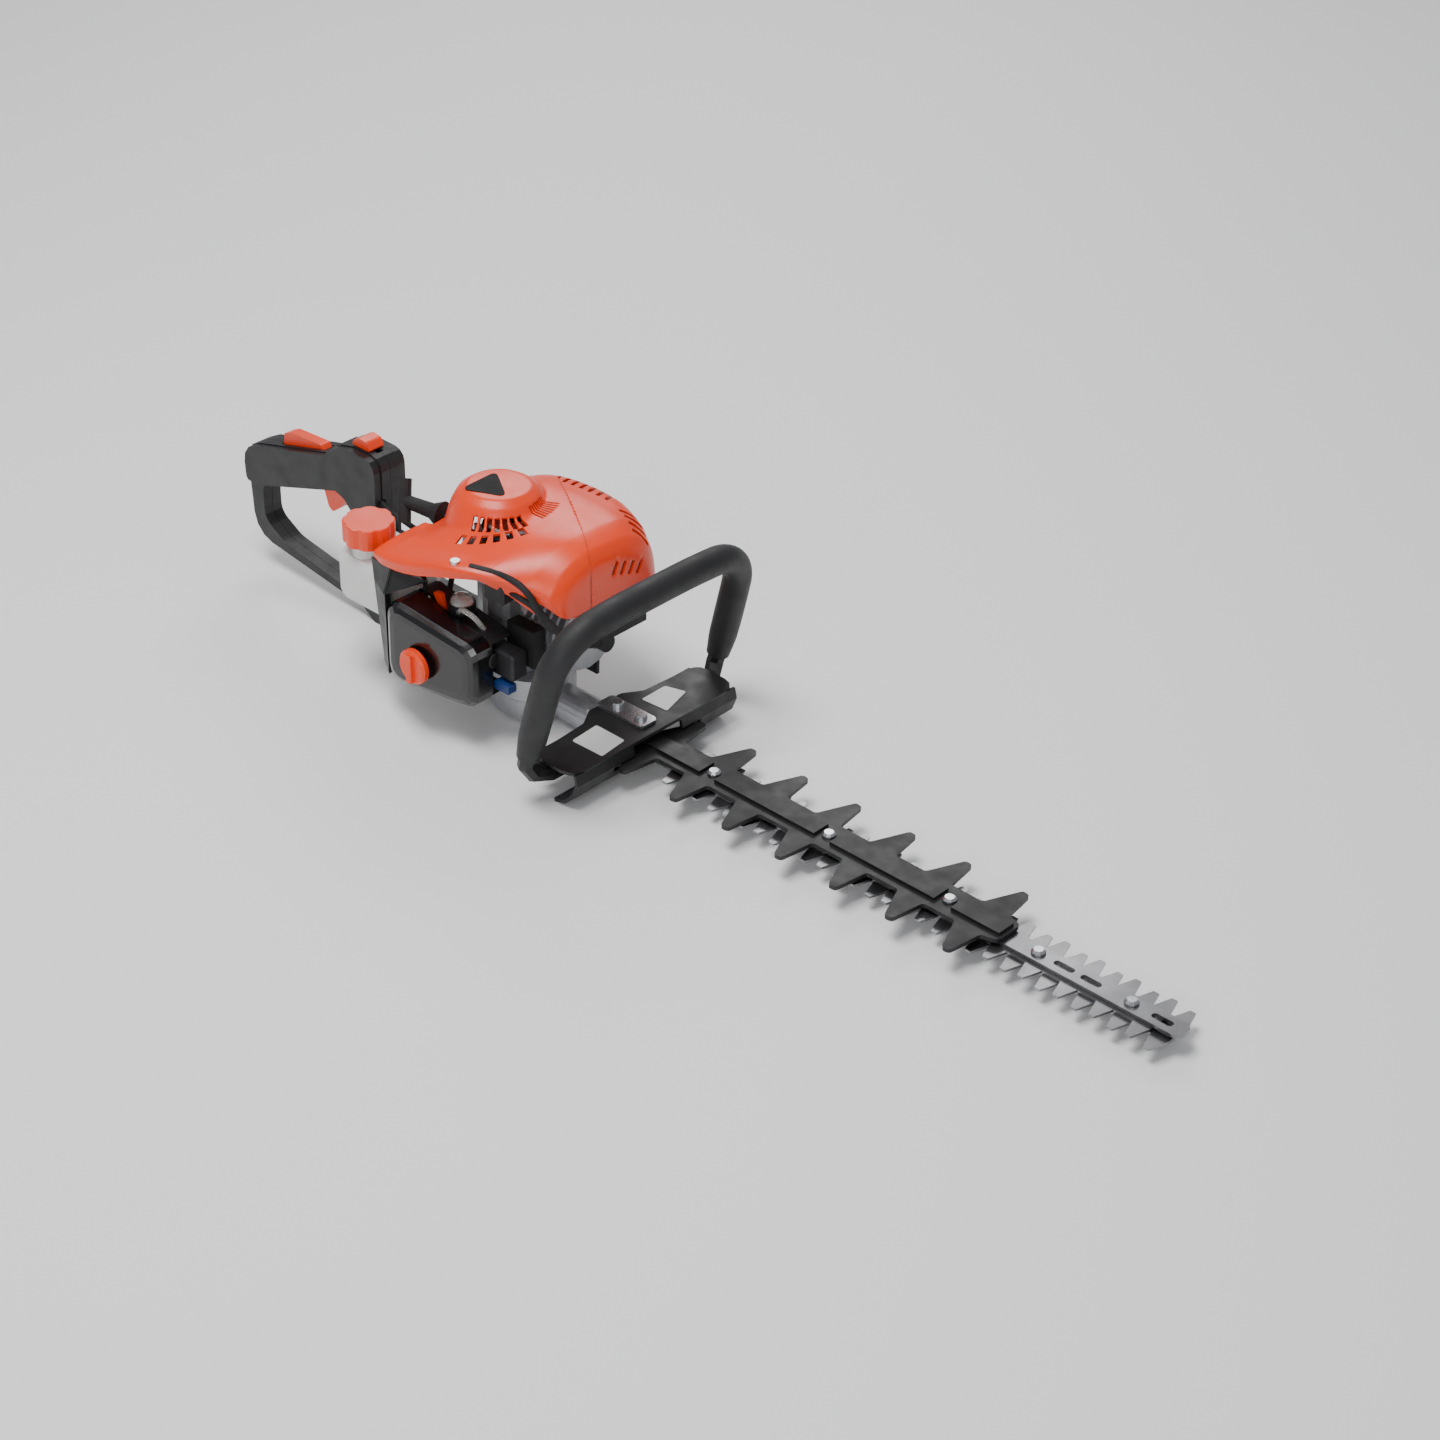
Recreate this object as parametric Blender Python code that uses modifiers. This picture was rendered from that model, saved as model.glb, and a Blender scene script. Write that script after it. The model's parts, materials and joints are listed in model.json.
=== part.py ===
"""Petrol hedge trimmer with a double-sided blade, a front loop handle and a D-shaped rear handle.

Every size below is in millimetres in the design frame: +X points along the blade, +Y to the
operator's left, +Z up, with the floor at z = 0 and x = 0 near the front edge of the hand guard.
The helpers turn millimetres into metres, and one empty carries the whole machine, moved along X
so that the machine's bounding box is centred on the world origin.
"""
import bmesh
import bpy
from math import atan2, cos, hypot, pi, radians, sin, tan
from mathutils import Matrix, Vector

MM = 0.001
GAP = 0.3
CENTRING_X = -2.8

# Cutting gear
TOOTH_PITCH = 32.0
TOOTH_ROOT_HALF = 7.5
TOOTH_TIP_HALF = 2.5
TOOTH_REACH = 27.9
TOOTH_COUNT = 15
LAST_TOOTH_LOWER_X = 484.7
BLADE_HALF = 12.0
BLADE_THICK = 2.0
LOWER_BLADE_Z = 11.8
UPPER_BLADE_Z = 14.1
BAR_Z = 16.4
BAR_THICK = 2.6
BAR_HALF = 9.0
BAR_TIP_X = 498.8
BAR_REAR_X = -74.0
BLADE_STROKE = 6.5
BOLT_XS = (47.2, 166.0, 284.0, 367.3, 450.9)
GUARDED_BOLTS = 3
BOLT_R = 2.9

# Spiked blade guard
GUARD_Z = 19.3
GUARD_PLATE_TOP = 22.8
GUARD_RIB_TOP = 25.4
GUARD_REAR_X = -37.0
GUARD_FRONT_X = 340.3
SPIKE_PITCH = 54.4
SPIKE_COUNT = 7
FIRST_SPIKE_X = -7.7
SPIKE_REACH = 47.1

# Gear case and reduction drive
GEAR_X = -152.0
CRANK_X = -172.7
GEAR_TEETH = 27
PINION_TEETH = 12
MODULE = 2 * (GEAR_X - CRANK_X) / (GEAR_TEETH + PINION_TEETH)
GEAR_Z = 22.5
GEAR_THICK = 6.0
CASE_R = 34.0
LOBE_R = 28.0
CASE_Z = 20.0
NECK_R = 14.6
NECK_Z = 16.0
CASE_TOP = 39.0
CRANK_PIN_R = 4.5
WINDOW_HALF_X = 18.1
WINDOW_HALF_Y = 11.6
RING_WALL = 3.4

# Engine
CYLINDER_Z = 91.0
CRANK_RADIUS = 13.0
ROD_LENGTH = 50.0
BORE_R = 16.0
FIN_R = 31.0
SHAFT_R = 5.0
FLYWHEEL_Z = 124.0
FLYWHEEL_R = 44.0
PULLEY_Z = 148.0
PULLEY_R = 24.0

# Front loop handle
LOOP_HALF = 104.5
LOOP_TUBE_R = 7.6
LOOP_GRIP_R = 12.0

# Rear handle
STRUT_HALF = 9.5
GRIP_HALF = 14.5
HEAD_HALF = 17.0

ORANGE = ((0.82, 0.10, 0.012), 0.35, 0.0)
BLACK = ((0.02, 0.02, 0.022), 0.45, 0.0)
GLOSS_BLACK = ((0.012, 0.012, 0.014), 0.18, 0.0)
RUBBER = ((0.03, 0.03, 0.032), 0.75, 0.0)
STEEL = ((0.55, 0.55, 0.56), 0.3, 1.0)
DARK_STEEL = ((0.2, 0.2, 0.21), 0.4, 1.0)
CAST = ((0.62, 0.63, 0.65), 0.45, 1.0)
WHITE = ((0.85, 0.85, 0.82), 0.4, 0.0)
CLEAR = ((0.9, 0.88, 0.8), 0.15, 0.0)
FOAM = ((0.15, 0.14, 0.13), 0.95, 0.0)


# ---------------------------------------------------------------- scene set-up

def clear_scene():
    for old in list(bpy.data.objects):
        bpy.data.objects.remove(old, do_unlink=True)


def new_collection(name):
    collection = bpy.data.collections.new(name)
    bpy.context.scene.collection.children.link(collection)
    return collection


clear_scene()
PARTS = new_collection("hedge_trimmer")
CUTTERS = new_collection("cutters")
DATUM = bpy.data.objects.new("machine_datum", None)
DATUM.location = (CENTRING_X * MM, 0, 0)
PARTS.objects.link(DATUM)


def metres(*values):
    return Vector(values) * MM


def adopt(mesh, name):
    """Wrap a mesh given in design-frame metres in an object under the datum empty."""
    thing = bpy.data.objects.new(name, mesh)
    PARTS.objects.link(thing)
    thing.parent = DATUM
    return thing


def mesh_from_bmesh(bm, name):
    bmesh.ops.recalc_face_normals(bm, faces=bm.faces)
    mesh = bpy.data.meshes.new(name)
    bm.to_mesh(mesh)
    bm.free()
    return mesh


def take_primitive(name):
    """Move the primitive an operator has just made into the parts, keeping its world shape."""
    thing = bpy.context.object
    thing.name = name
    for holder in list(thing.users_collection):
        holder.objects.unlink(thing)
    PARTS.objects.link(thing)
    thing.data.transform(thing.matrix_basis)
    thing.matrix_basis = Matrix()
    thing.parent = DATUM
    return thing


def evaluated_mesh(thing, name):
    """The object's evaluated shape as a welded mesh in its own space."""
    graph = bpy.context.evaluated_depsgraph_get()
    mesh = bpy.data.meshes.new_from_object(thing.evaluated_get(graph))
    mesh.name = name
    bm = bmesh.new()
    bm.from_mesh(mesh)
    bmesh.ops.remove_doubles(bm, verts=bm.verts, dist=0.00001)
    bmesh.ops.recalc_face_normals(bm, faces=bm.faces)
    bm.to_mesh(mesh)
    bm.free()
    return mesh


# ---------------------------------------------------------------- outlines

def fillet(corners, arc_steps=3):
    """Round each (a, b, radius) corner of a closed outline with an arc."""
    outline = []
    count = len(corners)
    for i, corner in enumerate(corners):
        here = Vector(corner[:2])
        radius = corner[2] if len(corner) > 2 else 0.0
        before = Vector(corners[i - 1][:2]) - here
        after = Vector(corners[(i + 1) % count][:2]) - here
        half = before.angle(after) / 2
        if radius <= 0 or half > radians(88):
            outline.append(here)
            continue
        reach = min(radius / tan(half), 0.49 * before.length, 0.49 * after.length)
        radius = reach * tan(half)
        middle = here + (before.normalized() + after.normalized()).normalized() * (radius / sin(half))
        start = here + before.normalized() * reach - middle
        end = here + after.normalized() * reach - middle
        first = atan2(start.y, start.x)
        sweep = (atan2(end.y, end.x) - first + pi) % (2 * pi) - pi
        for k in range(arc_steps + 1):
            angle = first + sweep * k / arc_steps
            outline.append(middle + Vector((cos(angle), sin(angle))) * radius)
    return outline


def rounded_box(a0, a1, b0, b1, radius, arc_steps=3):
    corners = [(a0, b0, radius), (a1, b0, radius), (a1, b1, radius), (a0, b1, radius)]
    return fillet(corners, arc_steps)


def circle(a, b, radius, steps):
    return [Vector((a + radius * cos(2 * pi * k / steps), b + radius * sin(2 * pi * k / steps)))
            for k in range(steps)]


def strip(points, thick):
    """A closed outline that follows an open line of points with the given thickness."""
    left, right = [], []
    for i, point in enumerate(points):
        here = Vector(point)
        back = Vector(points[max(i - 1, 0)])
        ahead = Vector(points[min(i + 1, len(points) - 1)])
        along = (ahead - back).normalized()
        side = Vector((-along.y, along.x)) * thick / 2
        left.append(here + side)
        right.append(here - side)
    return left + right[::-1]


def inset(outline, distance):
    """Shrink a closed outline evenly by moving each point in along its corner's bisector."""
    count = len(outline)
    area = sum(outline[i - 1].cross(outline[i]) for i in range(count))
    turn = 1 if area > 0 else -1
    result = []
    for i, here in enumerate(outline):
        before = (here - outline[i - 1]).normalized()
        after = (outline[(i + 1) % count] - here).normalized()
        side = Vector((-before.y - after.y, before.x + after.x)).normalized() * turn
        spread = max(before.dot((before + after).normalized()), 0.5)
        result.append(here + side * distance / spread)
    return result


PLANES = {
    "xy": Matrix(((1, 0, 0), (0, 1, 0), (0, 0, 1))),
    "xz": Matrix(((1, 0, 0), (0, 0, 1), (0, 1, 0))),
    "yz": Matrix(((0, 0, 1), (1, 0, 0), (0, 1, 0))),
}


def plate(name, plane, low, high, outline, holes=()):
    """Extrude a flat outline between two levels of the axis normal to its plane."""
    curve = bpy.data.curves.new(name, "CURVE")
    curve.dimensions = "2D"
    curve.fill_mode = "BOTH"
    curve.extrude = (high - low) / 2 * MM
    for ring in (outline, *holes):
        spline = curve.splines.new("POLY")
        spline.points.add(len(ring) - 1)
        for slot, point in zip(spline.points, ring):
            slot.co = (point[0] * MM, point[1] * MM, 0, 1)
        spline.use_cyclic_u = True
    guide = bpy.data.objects.new(name + "_outline", curve)
    PARTS.objects.link(guide)
    mesh = evaluated_mesh(guide, name)
    bpy.data.objects.remove(guide, do_unlink=True)
    bpy.data.curves.remove(curve)
    mesh.transform(Matrix.Translation((0, 0, (low + high) / 2 * MM)))
    mesh.transform(PLANES[plane].to_4x4())
    bm = bmesh.new()
    bm.from_mesh(mesh)
    bmesh.ops.recalc_face_normals(bm, faces=bm.faces)
    bm.to_mesh(mesh)
    bm.free()
    return adopt(mesh, name)


# ---------------------------------------------------------------- solids

def box(name, low, high):
    bpy.ops.mesh.primitive_cube_add(size=1)
    thing = take_primitive(name)
    size = metres(*(h - l for l, h in zip(low, high)))
    centre = metres(*((l + h) / 2 for l, h in zip(low, high)))
    thing.data.transform(Matrix.Translation(centre) @ Matrix.Diagonal((*size, 1)))
    return thing


def rod(name, start, end, radius, steps=16, end_radius=None):
    """A cylinder, or a cone when end_radius is given, between two points."""
    first, last = metres(*start), metres(*end)
    far = radius if end_radius is None else end_radius
    bpy.ops.mesh.primitive_cone_add(vertices=steps, radius1=radius * MM, radius2=far * MM,
                                    depth=(last - first).length)
    thing = take_primitive(name)
    turn = (last - first).to_track_quat("Z", "Y").to_matrix().to_4x4()
    thing.data.transform(Matrix.Translation((first + last) / 2) @ turn)
    return thing


def turned(name, profile, base, axis=(0, 0, 1), steps=24):
    """Turn a closed (radius, height) profile about an axis through base."""
    bm = bmesh.new()
    verts = [bm.verts.new((r * MM, 0, h * MM)) for r, h in profile]
    ends_on_axis = profile[0][0] == 0 and profile[-1][0] == 0
    for i in range(len(verts) - (1 if ends_on_axis else 0)):
        bm.edges.new((verts[i], verts[(i + 1) % len(verts)]))
    mesh = bpy.data.meshes.new(name)
    bm.to_mesh(mesh)
    bm.free()
    guide = bpy.data.objects.new(name + "_profile", mesh)
    PARTS.objects.link(guide)
    screw = guide.modifiers.new("turn", "SCREW")
    screw.steps = screw.render_steps = steps
    screw.use_merge_vertices = True
    screw.merge_threshold = 0.00001
    shape = evaluated_mesh(guide, name)
    bpy.data.objects.remove(guide, do_unlink=True)
    turn = Vector(axis).to_track_quat("Z", "Y").to_matrix().to_4x4()
    shape.transform(Matrix.Translation(metres(*base)) @ turn)
    return adopt(shape, name)


def ring(name, inner, outer, base, height, axis=(0, 0, 1), steps=20):
    profile = [(outer, height), (outer, 0), (inner, 0), (inner, height)]
    return turned(name, profile, base, axis, steps)


def smooth_route(points, samples):
    """Catmull-Rom points through a list of route points."""
    route = [Vector(p) for p in points]
    padded = [2 * route[0] - route[1], *route, 2 * route[-1] - route[-2]]
    result = []
    spans = len(route) - 1
    for k in range(samples + 1):
        place = min(k * spans / samples, spans - 1e-9)
        i = int(place)
        t = place - i
        a, b, c, d = padded[i:i + 4]
        result.append(0.5 * (2 * b + (c - a) * t + (2 * a - 5 * b + 4 * c - d) * t * t
                             + (3 * b - a - 3 * c + d) * t ** 3))
    return result


def tube(name, route, radius, resolution=2, capped=True):
    curve = bpy.data.curves.new(name, "CURVE")
    curve.dimensions = "3D"
    curve.bevel_depth = radius * MM
    curve.bevel_resolution = resolution
    curve.use_fill_caps = capped
    spline = curve.splines.new("POLY")
    spline.points.add(len(route) - 1)
    for slot, point in zip(spline.points, route):
        slot.co = (*metres(*point), 1)
    guide = bpy.data.objects.new(name + "_route", curve)
    PARTS.objects.link(guide)
    mesh = evaluated_mesh(guide, name)
    bpy.data.objects.remove(guide, do_unlink=True)
    bpy.data.curves.remove(curve)
    return adopt(mesh, name)


def loft(name, sections):
    """Skin equal rings of (x, y, z) points and close both ends."""
    bm = bmesh.new()
    rings = [[bm.verts.new(metres(*p)) for p in section] for section in sections]
    count = len(rings[0])
    for one, two in zip(rings, rings[1:]):
        for i in range(count):
            j = (i + 1) % count
            bm.faces.new((one[i], one[j], two[j], two[i]))
    bm.faces.new(rings[0])
    bm.faces.new(rings[-1])
    bmesh.ops.triangulate(bm, faces=bm.faces)
    return adopt(mesh_from_bmesh(bm, name), name)


# ---------------------------------------------------------------- finishing

def combine(target, tool, operation):
    """Add a Boolean modifier and put the tool away as a guide."""
    modifier = target.modifiers.new(operation.lower(), "BOOLEAN")
    modifier.operation = operation
    modifier.solver = "EXACT"
    modifier.object = tool
    if tool.name not in CUTTERS.objects:
        PARTS.objects.unlink(tool)
        CUTTERS.objects.link(tool)
    tool.hide_render = True
    tool.display_type = "WIRE"


def cut(target, *tools):
    for tool in tools:
        combine(target, tool, "DIFFERENCE")
    return target


def join(target, *tools):
    for tool in tools:
        combine(target, tool, "UNION")
    return target


def keep_inside(target, tool):
    combine(target, tool, "INTERSECT")
    return target


def soften(thing, width, segments=1, angle=40):
    bevel = thing.modifiers.new("soft_edges", "BEVEL")
    bevel.width = width * MM
    bevel.segments = segments
    bevel.limit_method = "ANGLE"
    bevel.angle_limit = radians(angle)
    return thing


def pivot(thing, x, y, z):
    """Put the object's origin on its joint axis without moving its shape."""
    place = metres(x, y, z)
    thing.data.transform(Matrix.Translation(-place))
    thing.location = place
    return thing


def finish(thing, look, smooth=True):
    """Give a part its own material and shading."""
    colour, roughness, metallic = look
    material = bpy.data.materials.new(thing.name + "_finish")
    material.use_nodes = True
    shader = material.node_tree.nodes["Principled BSDF"]
    shader.inputs["Base Color"].default_value = (*colour, 1)
    shader.inputs["Roughness"].default_value = roughness
    shader.inputs["Metallic"].default_value = metallic
    thing.data.materials.clear()
    thing.data.materials.append(material)
    if smooth:
        thing.data.shade_smooth()
        thing.data.set_sharp_from_angle(angle=radians(35))
    return thing


# ---------------------------------------------------------------- cutting gear

def blade_outline(last_tooth_x):
    """Half the blade, from its drive ring to its last tooth, then the mirrored half."""
    ring_front = GEAR_X + WINDOW_HALF_X + RING_WALL
    ring_rear = GEAR_X - WINDOW_HALF_X - RING_WALL
    ring_half = WINDOW_HALF_Y + RING_WALL
    neck_half = 9.0
    upper = [(ring_rear, ring_half, 8), (ring_front, ring_half, 8), (ring_front + 3, neck_half, 4)]
    first_tooth_x = last_tooth_x - (TOOTH_COUNT - 1) * TOOTH_PITCH
    upper.append((first_tooth_x - TOOTH_ROOT_HALF - 8, neck_half, 0))
    upper.append((first_tooth_x - TOOTH_ROOT_HALF - 5, BLADE_HALF, 0))
    for k in range(TOOTH_COUNT):
        x = first_tooth_x + k * TOOTH_PITCH
        upper.append((x - TOOTH_ROOT_HALF, BLADE_HALF, 0))
        upper.append((x - TOOTH_TIP_HALF, TOOTH_REACH, 0))
        upper.append((x + TOOTH_TIP_HALF, TOOTH_REACH, 0))
        upper.append((x + TOOTH_ROOT_HALF, BLADE_HALF, 0))
    lower = [(x, -y, r) for x, y, r in reversed(upper)]
    return fillet(upper + lower, 2)


def blade(name, z, last_tooth_x):
    window = rounded_box(GEAR_X - WINDOW_HALF_X, GEAR_X + WINDOW_HALF_X,
                         -WINDOW_HALF_Y, WINDOW_HALF_Y, 5, 2)
    slot_half = BLADE_STROKE + BOLT_R + 0.8
    slots = [rounded_box(x - slot_half, x + slot_half, -BOLT_R - 0.8, BOLT_R + 0.8, 3, 2)
             for x in BOLT_XS]
    thing = plate(name, "xy", z, z + BLADE_THICK, blade_outline(last_tooth_x), [window, *slots])
    return finish(thing, STEEL, smooth=False)


def guide_bar():
    outline = fillet([(BAR_REAR_X, -BAR_HALF, 2), (BAR_TIP_X, -BAR_HALF, 7),
                      (BAR_TIP_X, BAR_HALF, 7), (BAR_REAR_X, BAR_HALF, 2)], 3)
    holes = [circle(x, 0, BOLT_R + 0.4, 10) for x in BOLT_XS]
    windows = [rounded_box(x - 9, x + 9, -3, 3, 2.5, 2) for x in (391.0, 415.0, 478.0)]
    thing = plate("guide_bar", "xy", BAR_Z, BAR_Z + BAR_THICK, outline, holes + windows)
    return finish(thing, STEEL, smooth=False)


def guard_outline():
    half = 15.0
    upper = [(GUARD_REAR_X, half, 3)]
    for k in range(SPIKE_COUNT):
        x = FIRST_SPIKE_X + k * SPIKE_PITCH
        half = 15.0 + 0.03 * k * k
        upper.append((x - 16.5, half, 3))
        upper.append((x - 3.2, SPIKE_REACH, 3))
        upper.append((x + 3.6, SPIKE_REACH - 0.6, 3))
        upper.append((x + 8.0, half + 0.4, 3))
    upper.append((GUARD_FRONT_X, half - 3, 5))
    lower = [(x, -y, r) for x, y, r in reversed(upper)]
    return fillet(upper + lower, 2)


def blade_guard():
    holes = [circle(x, 0, BOLT_R + 0.4, 10) for x in BOLT_XS[:GUARDED_BOLTS]]
    thing = plate("blade_guard", "xy", GUARD_Z, GUARD_PLATE_TOP, guard_outline(), holes)
    edges = [GUARD_REAR_X + 2]
    for x in BOLT_XS[:GUARDED_BOLTS]:
        edges += [x - 8, x + 8]
    edges.append(GUARD_FRONT_X - 3)
    for k, (start, end) in enumerate(zip(edges[::2], edges[1::2])):
        join(thing, box(f"guard_rib_{k}", (start, -8.5, GUARD_PLATE_TOP - 1), (end, 8.5, GUARD_RIB_TOP)))
    return finish(thing, BLACK, smooth=False)


def blade_bolts():
    for k, x in enumerate(BOLT_XS):
        seat = GUARD_PLATE_TOP if k < GUARDED_BOLTS else BAR_Z + BAR_THICK
        profile = [(0, seat + GAP + 3.2), (3.8, seat + GAP + 3.2), (5.6, seat + GAP + 1.6),
                   (5.6, seat + GAP), (BOLT_R, seat + GAP), (BOLT_R, LOWER_BLADE_Z - GAP),
                   (5.2, LOWER_BLADE_Z - GAP), (5.2, 8.2), (0, 8.2)]
        finish(turned(f"blade_bolt_{k + 1}", profile, (x, 0, 0), steps=10), STEEL)


# ---------------------------------------------------------------- gear case and drive

def gear_outline(x, teeth, phase):
    """Straight-flanked stub teeth, thin enough to run with backlash."""
    pitch_r = MODULE * teeth / 2
    tip_r = pitch_r + 0.72 * MODULE
    root_r = pitch_r - 1.12 * MODULE
    pitch_half = 0.205 * 2 * pi / teeth
    flank = tan(radians(25)) / pitch_r
    outline = []
    for k in range(teeth):
        middle = phase + 2 * pi * k / teeth
        root_half = pitch_half + flank * (pitch_r - root_r)
        tip_half = pitch_half - flank * (tip_r - pitch_r)
        for radius, offset in ((root_r, -root_half), (tip_r, -tip_half),
                               (tip_r, tip_half), (root_r, root_half)):
            outline.append(Vector((x + radius * cos(middle + offset), radius * sin(middle + offset))))
    return outline


def drive_gear():
    thing = plate("drive_gear", "xy", GEAR_Z, GEAR_Z + GEAR_THICK,
                  gear_outline(GEAR_X, GEAR_TEETH, pi + pi / GEAR_TEETH))
    join(thing, rod("gear_hub", (GEAR_X, 0, GEAR_Z + 3), (GEAR_X, 0, 34.9), 6.0, 16))
    for name, y, bottom in (("pin_upper", BLADE_STROKE, UPPER_BLADE_Z + 0.1),
                            ("pin_lower", -BLADE_STROKE, LOWER_BLADE_Z + 0.1)):
        join(thing, rod(name, (GEAR_X, y, bottom), (GEAR_X, y, GEAR_Z + 2), CRANK_PIN_R, 14))
    pivot(thing, GEAR_X, 0, GEAR_Z)
    return finish(thing, DARK_STEEL, smooth=False)


def gear_bearing():
    return finish(ring("gear_bearing", 6.3, 9.6, (GEAR_X, 0, 29.4), 5.6, steps=16), STEEL)


def clutch_drum():
    """Cup, shaft and pinion turned together, open upwards around the clutch shoes."""
    thing = turned("clutch_drum", [(28, 58), (28, 43), (5, 43), (5, 39.5), (5, GEAR_Z), (0, GEAR_Z),
                                   (0, 45), (26, 45), (26, 58)], (CRANK_X, 0, 0), steps=24)
    join(thing, plate("pinion", "xy", GEAR_Z + 0.2, GEAR_Z + GEAR_THICK - 0.2,
                      gear_outline(CRANK_X, PINION_TEETH, 0)))
    pivot(thing, CRANK_X, 0, GEAR_Z)
    return finish(thing, DARK_STEEL)


def pinion_bearing():
    return finish(ring("pinion_bearing", 5.3, 9.4, (CRANK_X, 0, 32.2), 5.2, steps=16), STEEL)


def clutch_shoes():
    def arc(first, last, radius, count):
        angles = [radians(first + (last - first) * k / count) for k in range(count + 1)]
        return [Vector((CRANK_X + radius * cos(a), radius * sin(a))) for a in angles]

    outline = []
    for side in (0, 180):
        outline += arc(side - 74, side + 74, 25, 8)
        outline += arc(side + 66, side + 40, 13, 2)
        outline += arc(side + 90, side + 90, 8, 1)[:1]
        outline += arc(side + 140, side + 114, 13, 2)
    thing = plate("clutch_shoes", "xy", 46, 56.5, outline, [circle(CRANK_X, 0, SHAFT_R + GAP, 14)])
    pivot(thing, CRANK_X, 0, 46)
    return finish(thing, FOAM, smooth=False)


def case_lobes(name, low, high, grow=0.0):
    """The gear case's plan: a disc over the gear with a lobe over the pinion."""
    disc = rod(name, (GEAR_X, 0, low), (GEAR_X, 0, high), CASE_R + grow, 32)
    lobe = rod(name + "_lobe", (CRANK_X, 0, low), (CRANK_X, 0, high), LOBE_R + grow, 24)
    return join(disc, lobe)


def gear_case():
    thing = case_lobes("gear_case", CASE_Z, CASE_TOP)
    join(thing, rod("case_neck", (-140, 0, NECK_Z), (-73.4, 0, NECK_Z), NECK_R, 24))
    cut(thing, box("neck_split", (-150, -30, 0), (-60, 30, CASE_Z)))
    join(thing, box("clamp_block", (-80, -12, CASE_Z), (-40, 12, 30.2)))
    cut(thing, rod("case_pocket", (GEAR_X, 0, 10), (GEAR_X, 0, 29.1), 31, 32))
    cut(thing, rod("pinion_pocket", (CRANK_X, 0, 10), (CRANK_X, 0, 29), 25, 24))
    cut(thing, rod("gear_seat", (GEAR_X, 0, 28), (GEAR_X, 0, 35.2), 9.9, 18))
    cut(thing, rod("pinion_seat", (CRANK_X, 0, 15), (CRANK_X, 0, 50), 9.7, 18))
    cut(thing, rod("bracket_hole_1", (-58, 0, 15), (-58, 0, 40), 2.6, 10))
    cut(thing, rod("bracket_hole_2", (-48, 0, 15), (-48, 0, 40), 2.6, 10))
    return finish(thing, CAST)


def gear_case_cover():
    """Lower pan that closes the gear case, with the lower half of the blade neck."""
    thing = case_lobes("gear_case_cover", 3.0, CASE_Z - GAP)
    join(thing, rod("pan_neck", (-140, 0, NECK_Z), (-62, 0, NECK_Z), NECK_R, 24))
    cut(thing, box("pan_split", (-200, -60, CASE_Z - GAP), (-40, 60, 40)))
    cut(thing, case_lobes("pan_well", 8.5, 30, -3))
    cut(thing, box("ring_room", (-150, -14.8, 10.9), (-121, 14.8, 30)))
    cut(thing, box("blade_tunnel", (-150, -10, 10.9), (-40, 10, 30)))
    return finish(thing, CAST)


# ---------------------------------------------------------------- engine

def crankcase():
    thing = rod("crankcase", (CRANK_X, 0, 60), (CRANK_X, 0, 120), 30.6, 28)
    join(thing, rod("clutch_skirt", (CRANK_X, 0, CASE_TOP + GAP), (CRANK_X, 0, 64), 35, 28))
    join(thing, box("cylinder_flange", (-160, -24, 67), (-142, 24, 115)))
    cut(thing, rod("clutch_room", (CRANK_X, 0, 30), (CRANK_X, 0, 62), 30.5, 24))
    cut(thing, rod("crank_room", (CRANK_X, 0, 75), (CRANK_X, 0, 107), 23, 24))
    cut(thing, rod("skirt_room", (CRANK_X, 0, CYLINDER_Z), (-130, 0, CYLINDER_Z), 16.6, 20))
    cut(thing, rod("lower_bush", (CRANK_X, 0, 60), (CRANK_X, 0, 76), SHAFT_R + GAP, 16))
    cut(thing, rod("upper_seat", (CRANK_X, 0, 106), (CRANK_X, 0, 130), 12, 16))
    return finish(thing, CAST)


def crank_bearing():
    finish(ring("crank_bearing", SHAFT_R + GAP, 11.7, (CRANK_X, 0, 108), 8, steps=16), STEEL)


def crankshaft():
    lower = turned("crankshaft_lower", [(0, 84), (20, 84), (20, 78), (SHAFT_R, 78), (SHAFT_R, 45.6),
                                        (0, 45.6)], (CRANK_X, 0, 0), steps=20)
    upper = turned("crankshaft_upper", [(0, 146), (SHAFT_R, 146), (SHAFT_R, 104), (20, 104),
                                        (20, 98), (0, 98)], (CRANK_X, 0, 0), steps=20)
    for half in (lower, upper):
        finish(pivot(half, CRANK_X, 0, CYLINDER_Z), DARK_STEEL)


def flywheel():
    """Magnet wheel whose upper face carries the cooling fan blades."""
    blades = 12
    outline = []
    for k in range(blades):
        angle = 2 * pi * k / blades
        for radius, offset in ((15, -0.10), (42, 0.06), (42, 0.12), (15, 0.08)):
            outline.append(Vector((CRANK_X + radius * cos(angle + offset),
                                   radius * sin(angle + offset))))
    thing = rod("flywheel", (CRANK_X, 0, FLYWHEEL_Z), (CRANK_X, 0, FLYWHEEL_Z + 8), FLYWHEEL_R, 32)
    join(thing, plate("fan_blades", "xy", FLYWHEEL_Z + 6, FLYWHEEL_Z + 19, outline))
    cut(thing, rod("flywheel_bore", (CRANK_X, 0, 110), (CRANK_X, 0, 160), SHAFT_R + GAP, 14))
    pivot(thing, CRANK_X, 0, FLYWHEEL_Z)
    return finish(thing, CAST, smooth=False)


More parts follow.
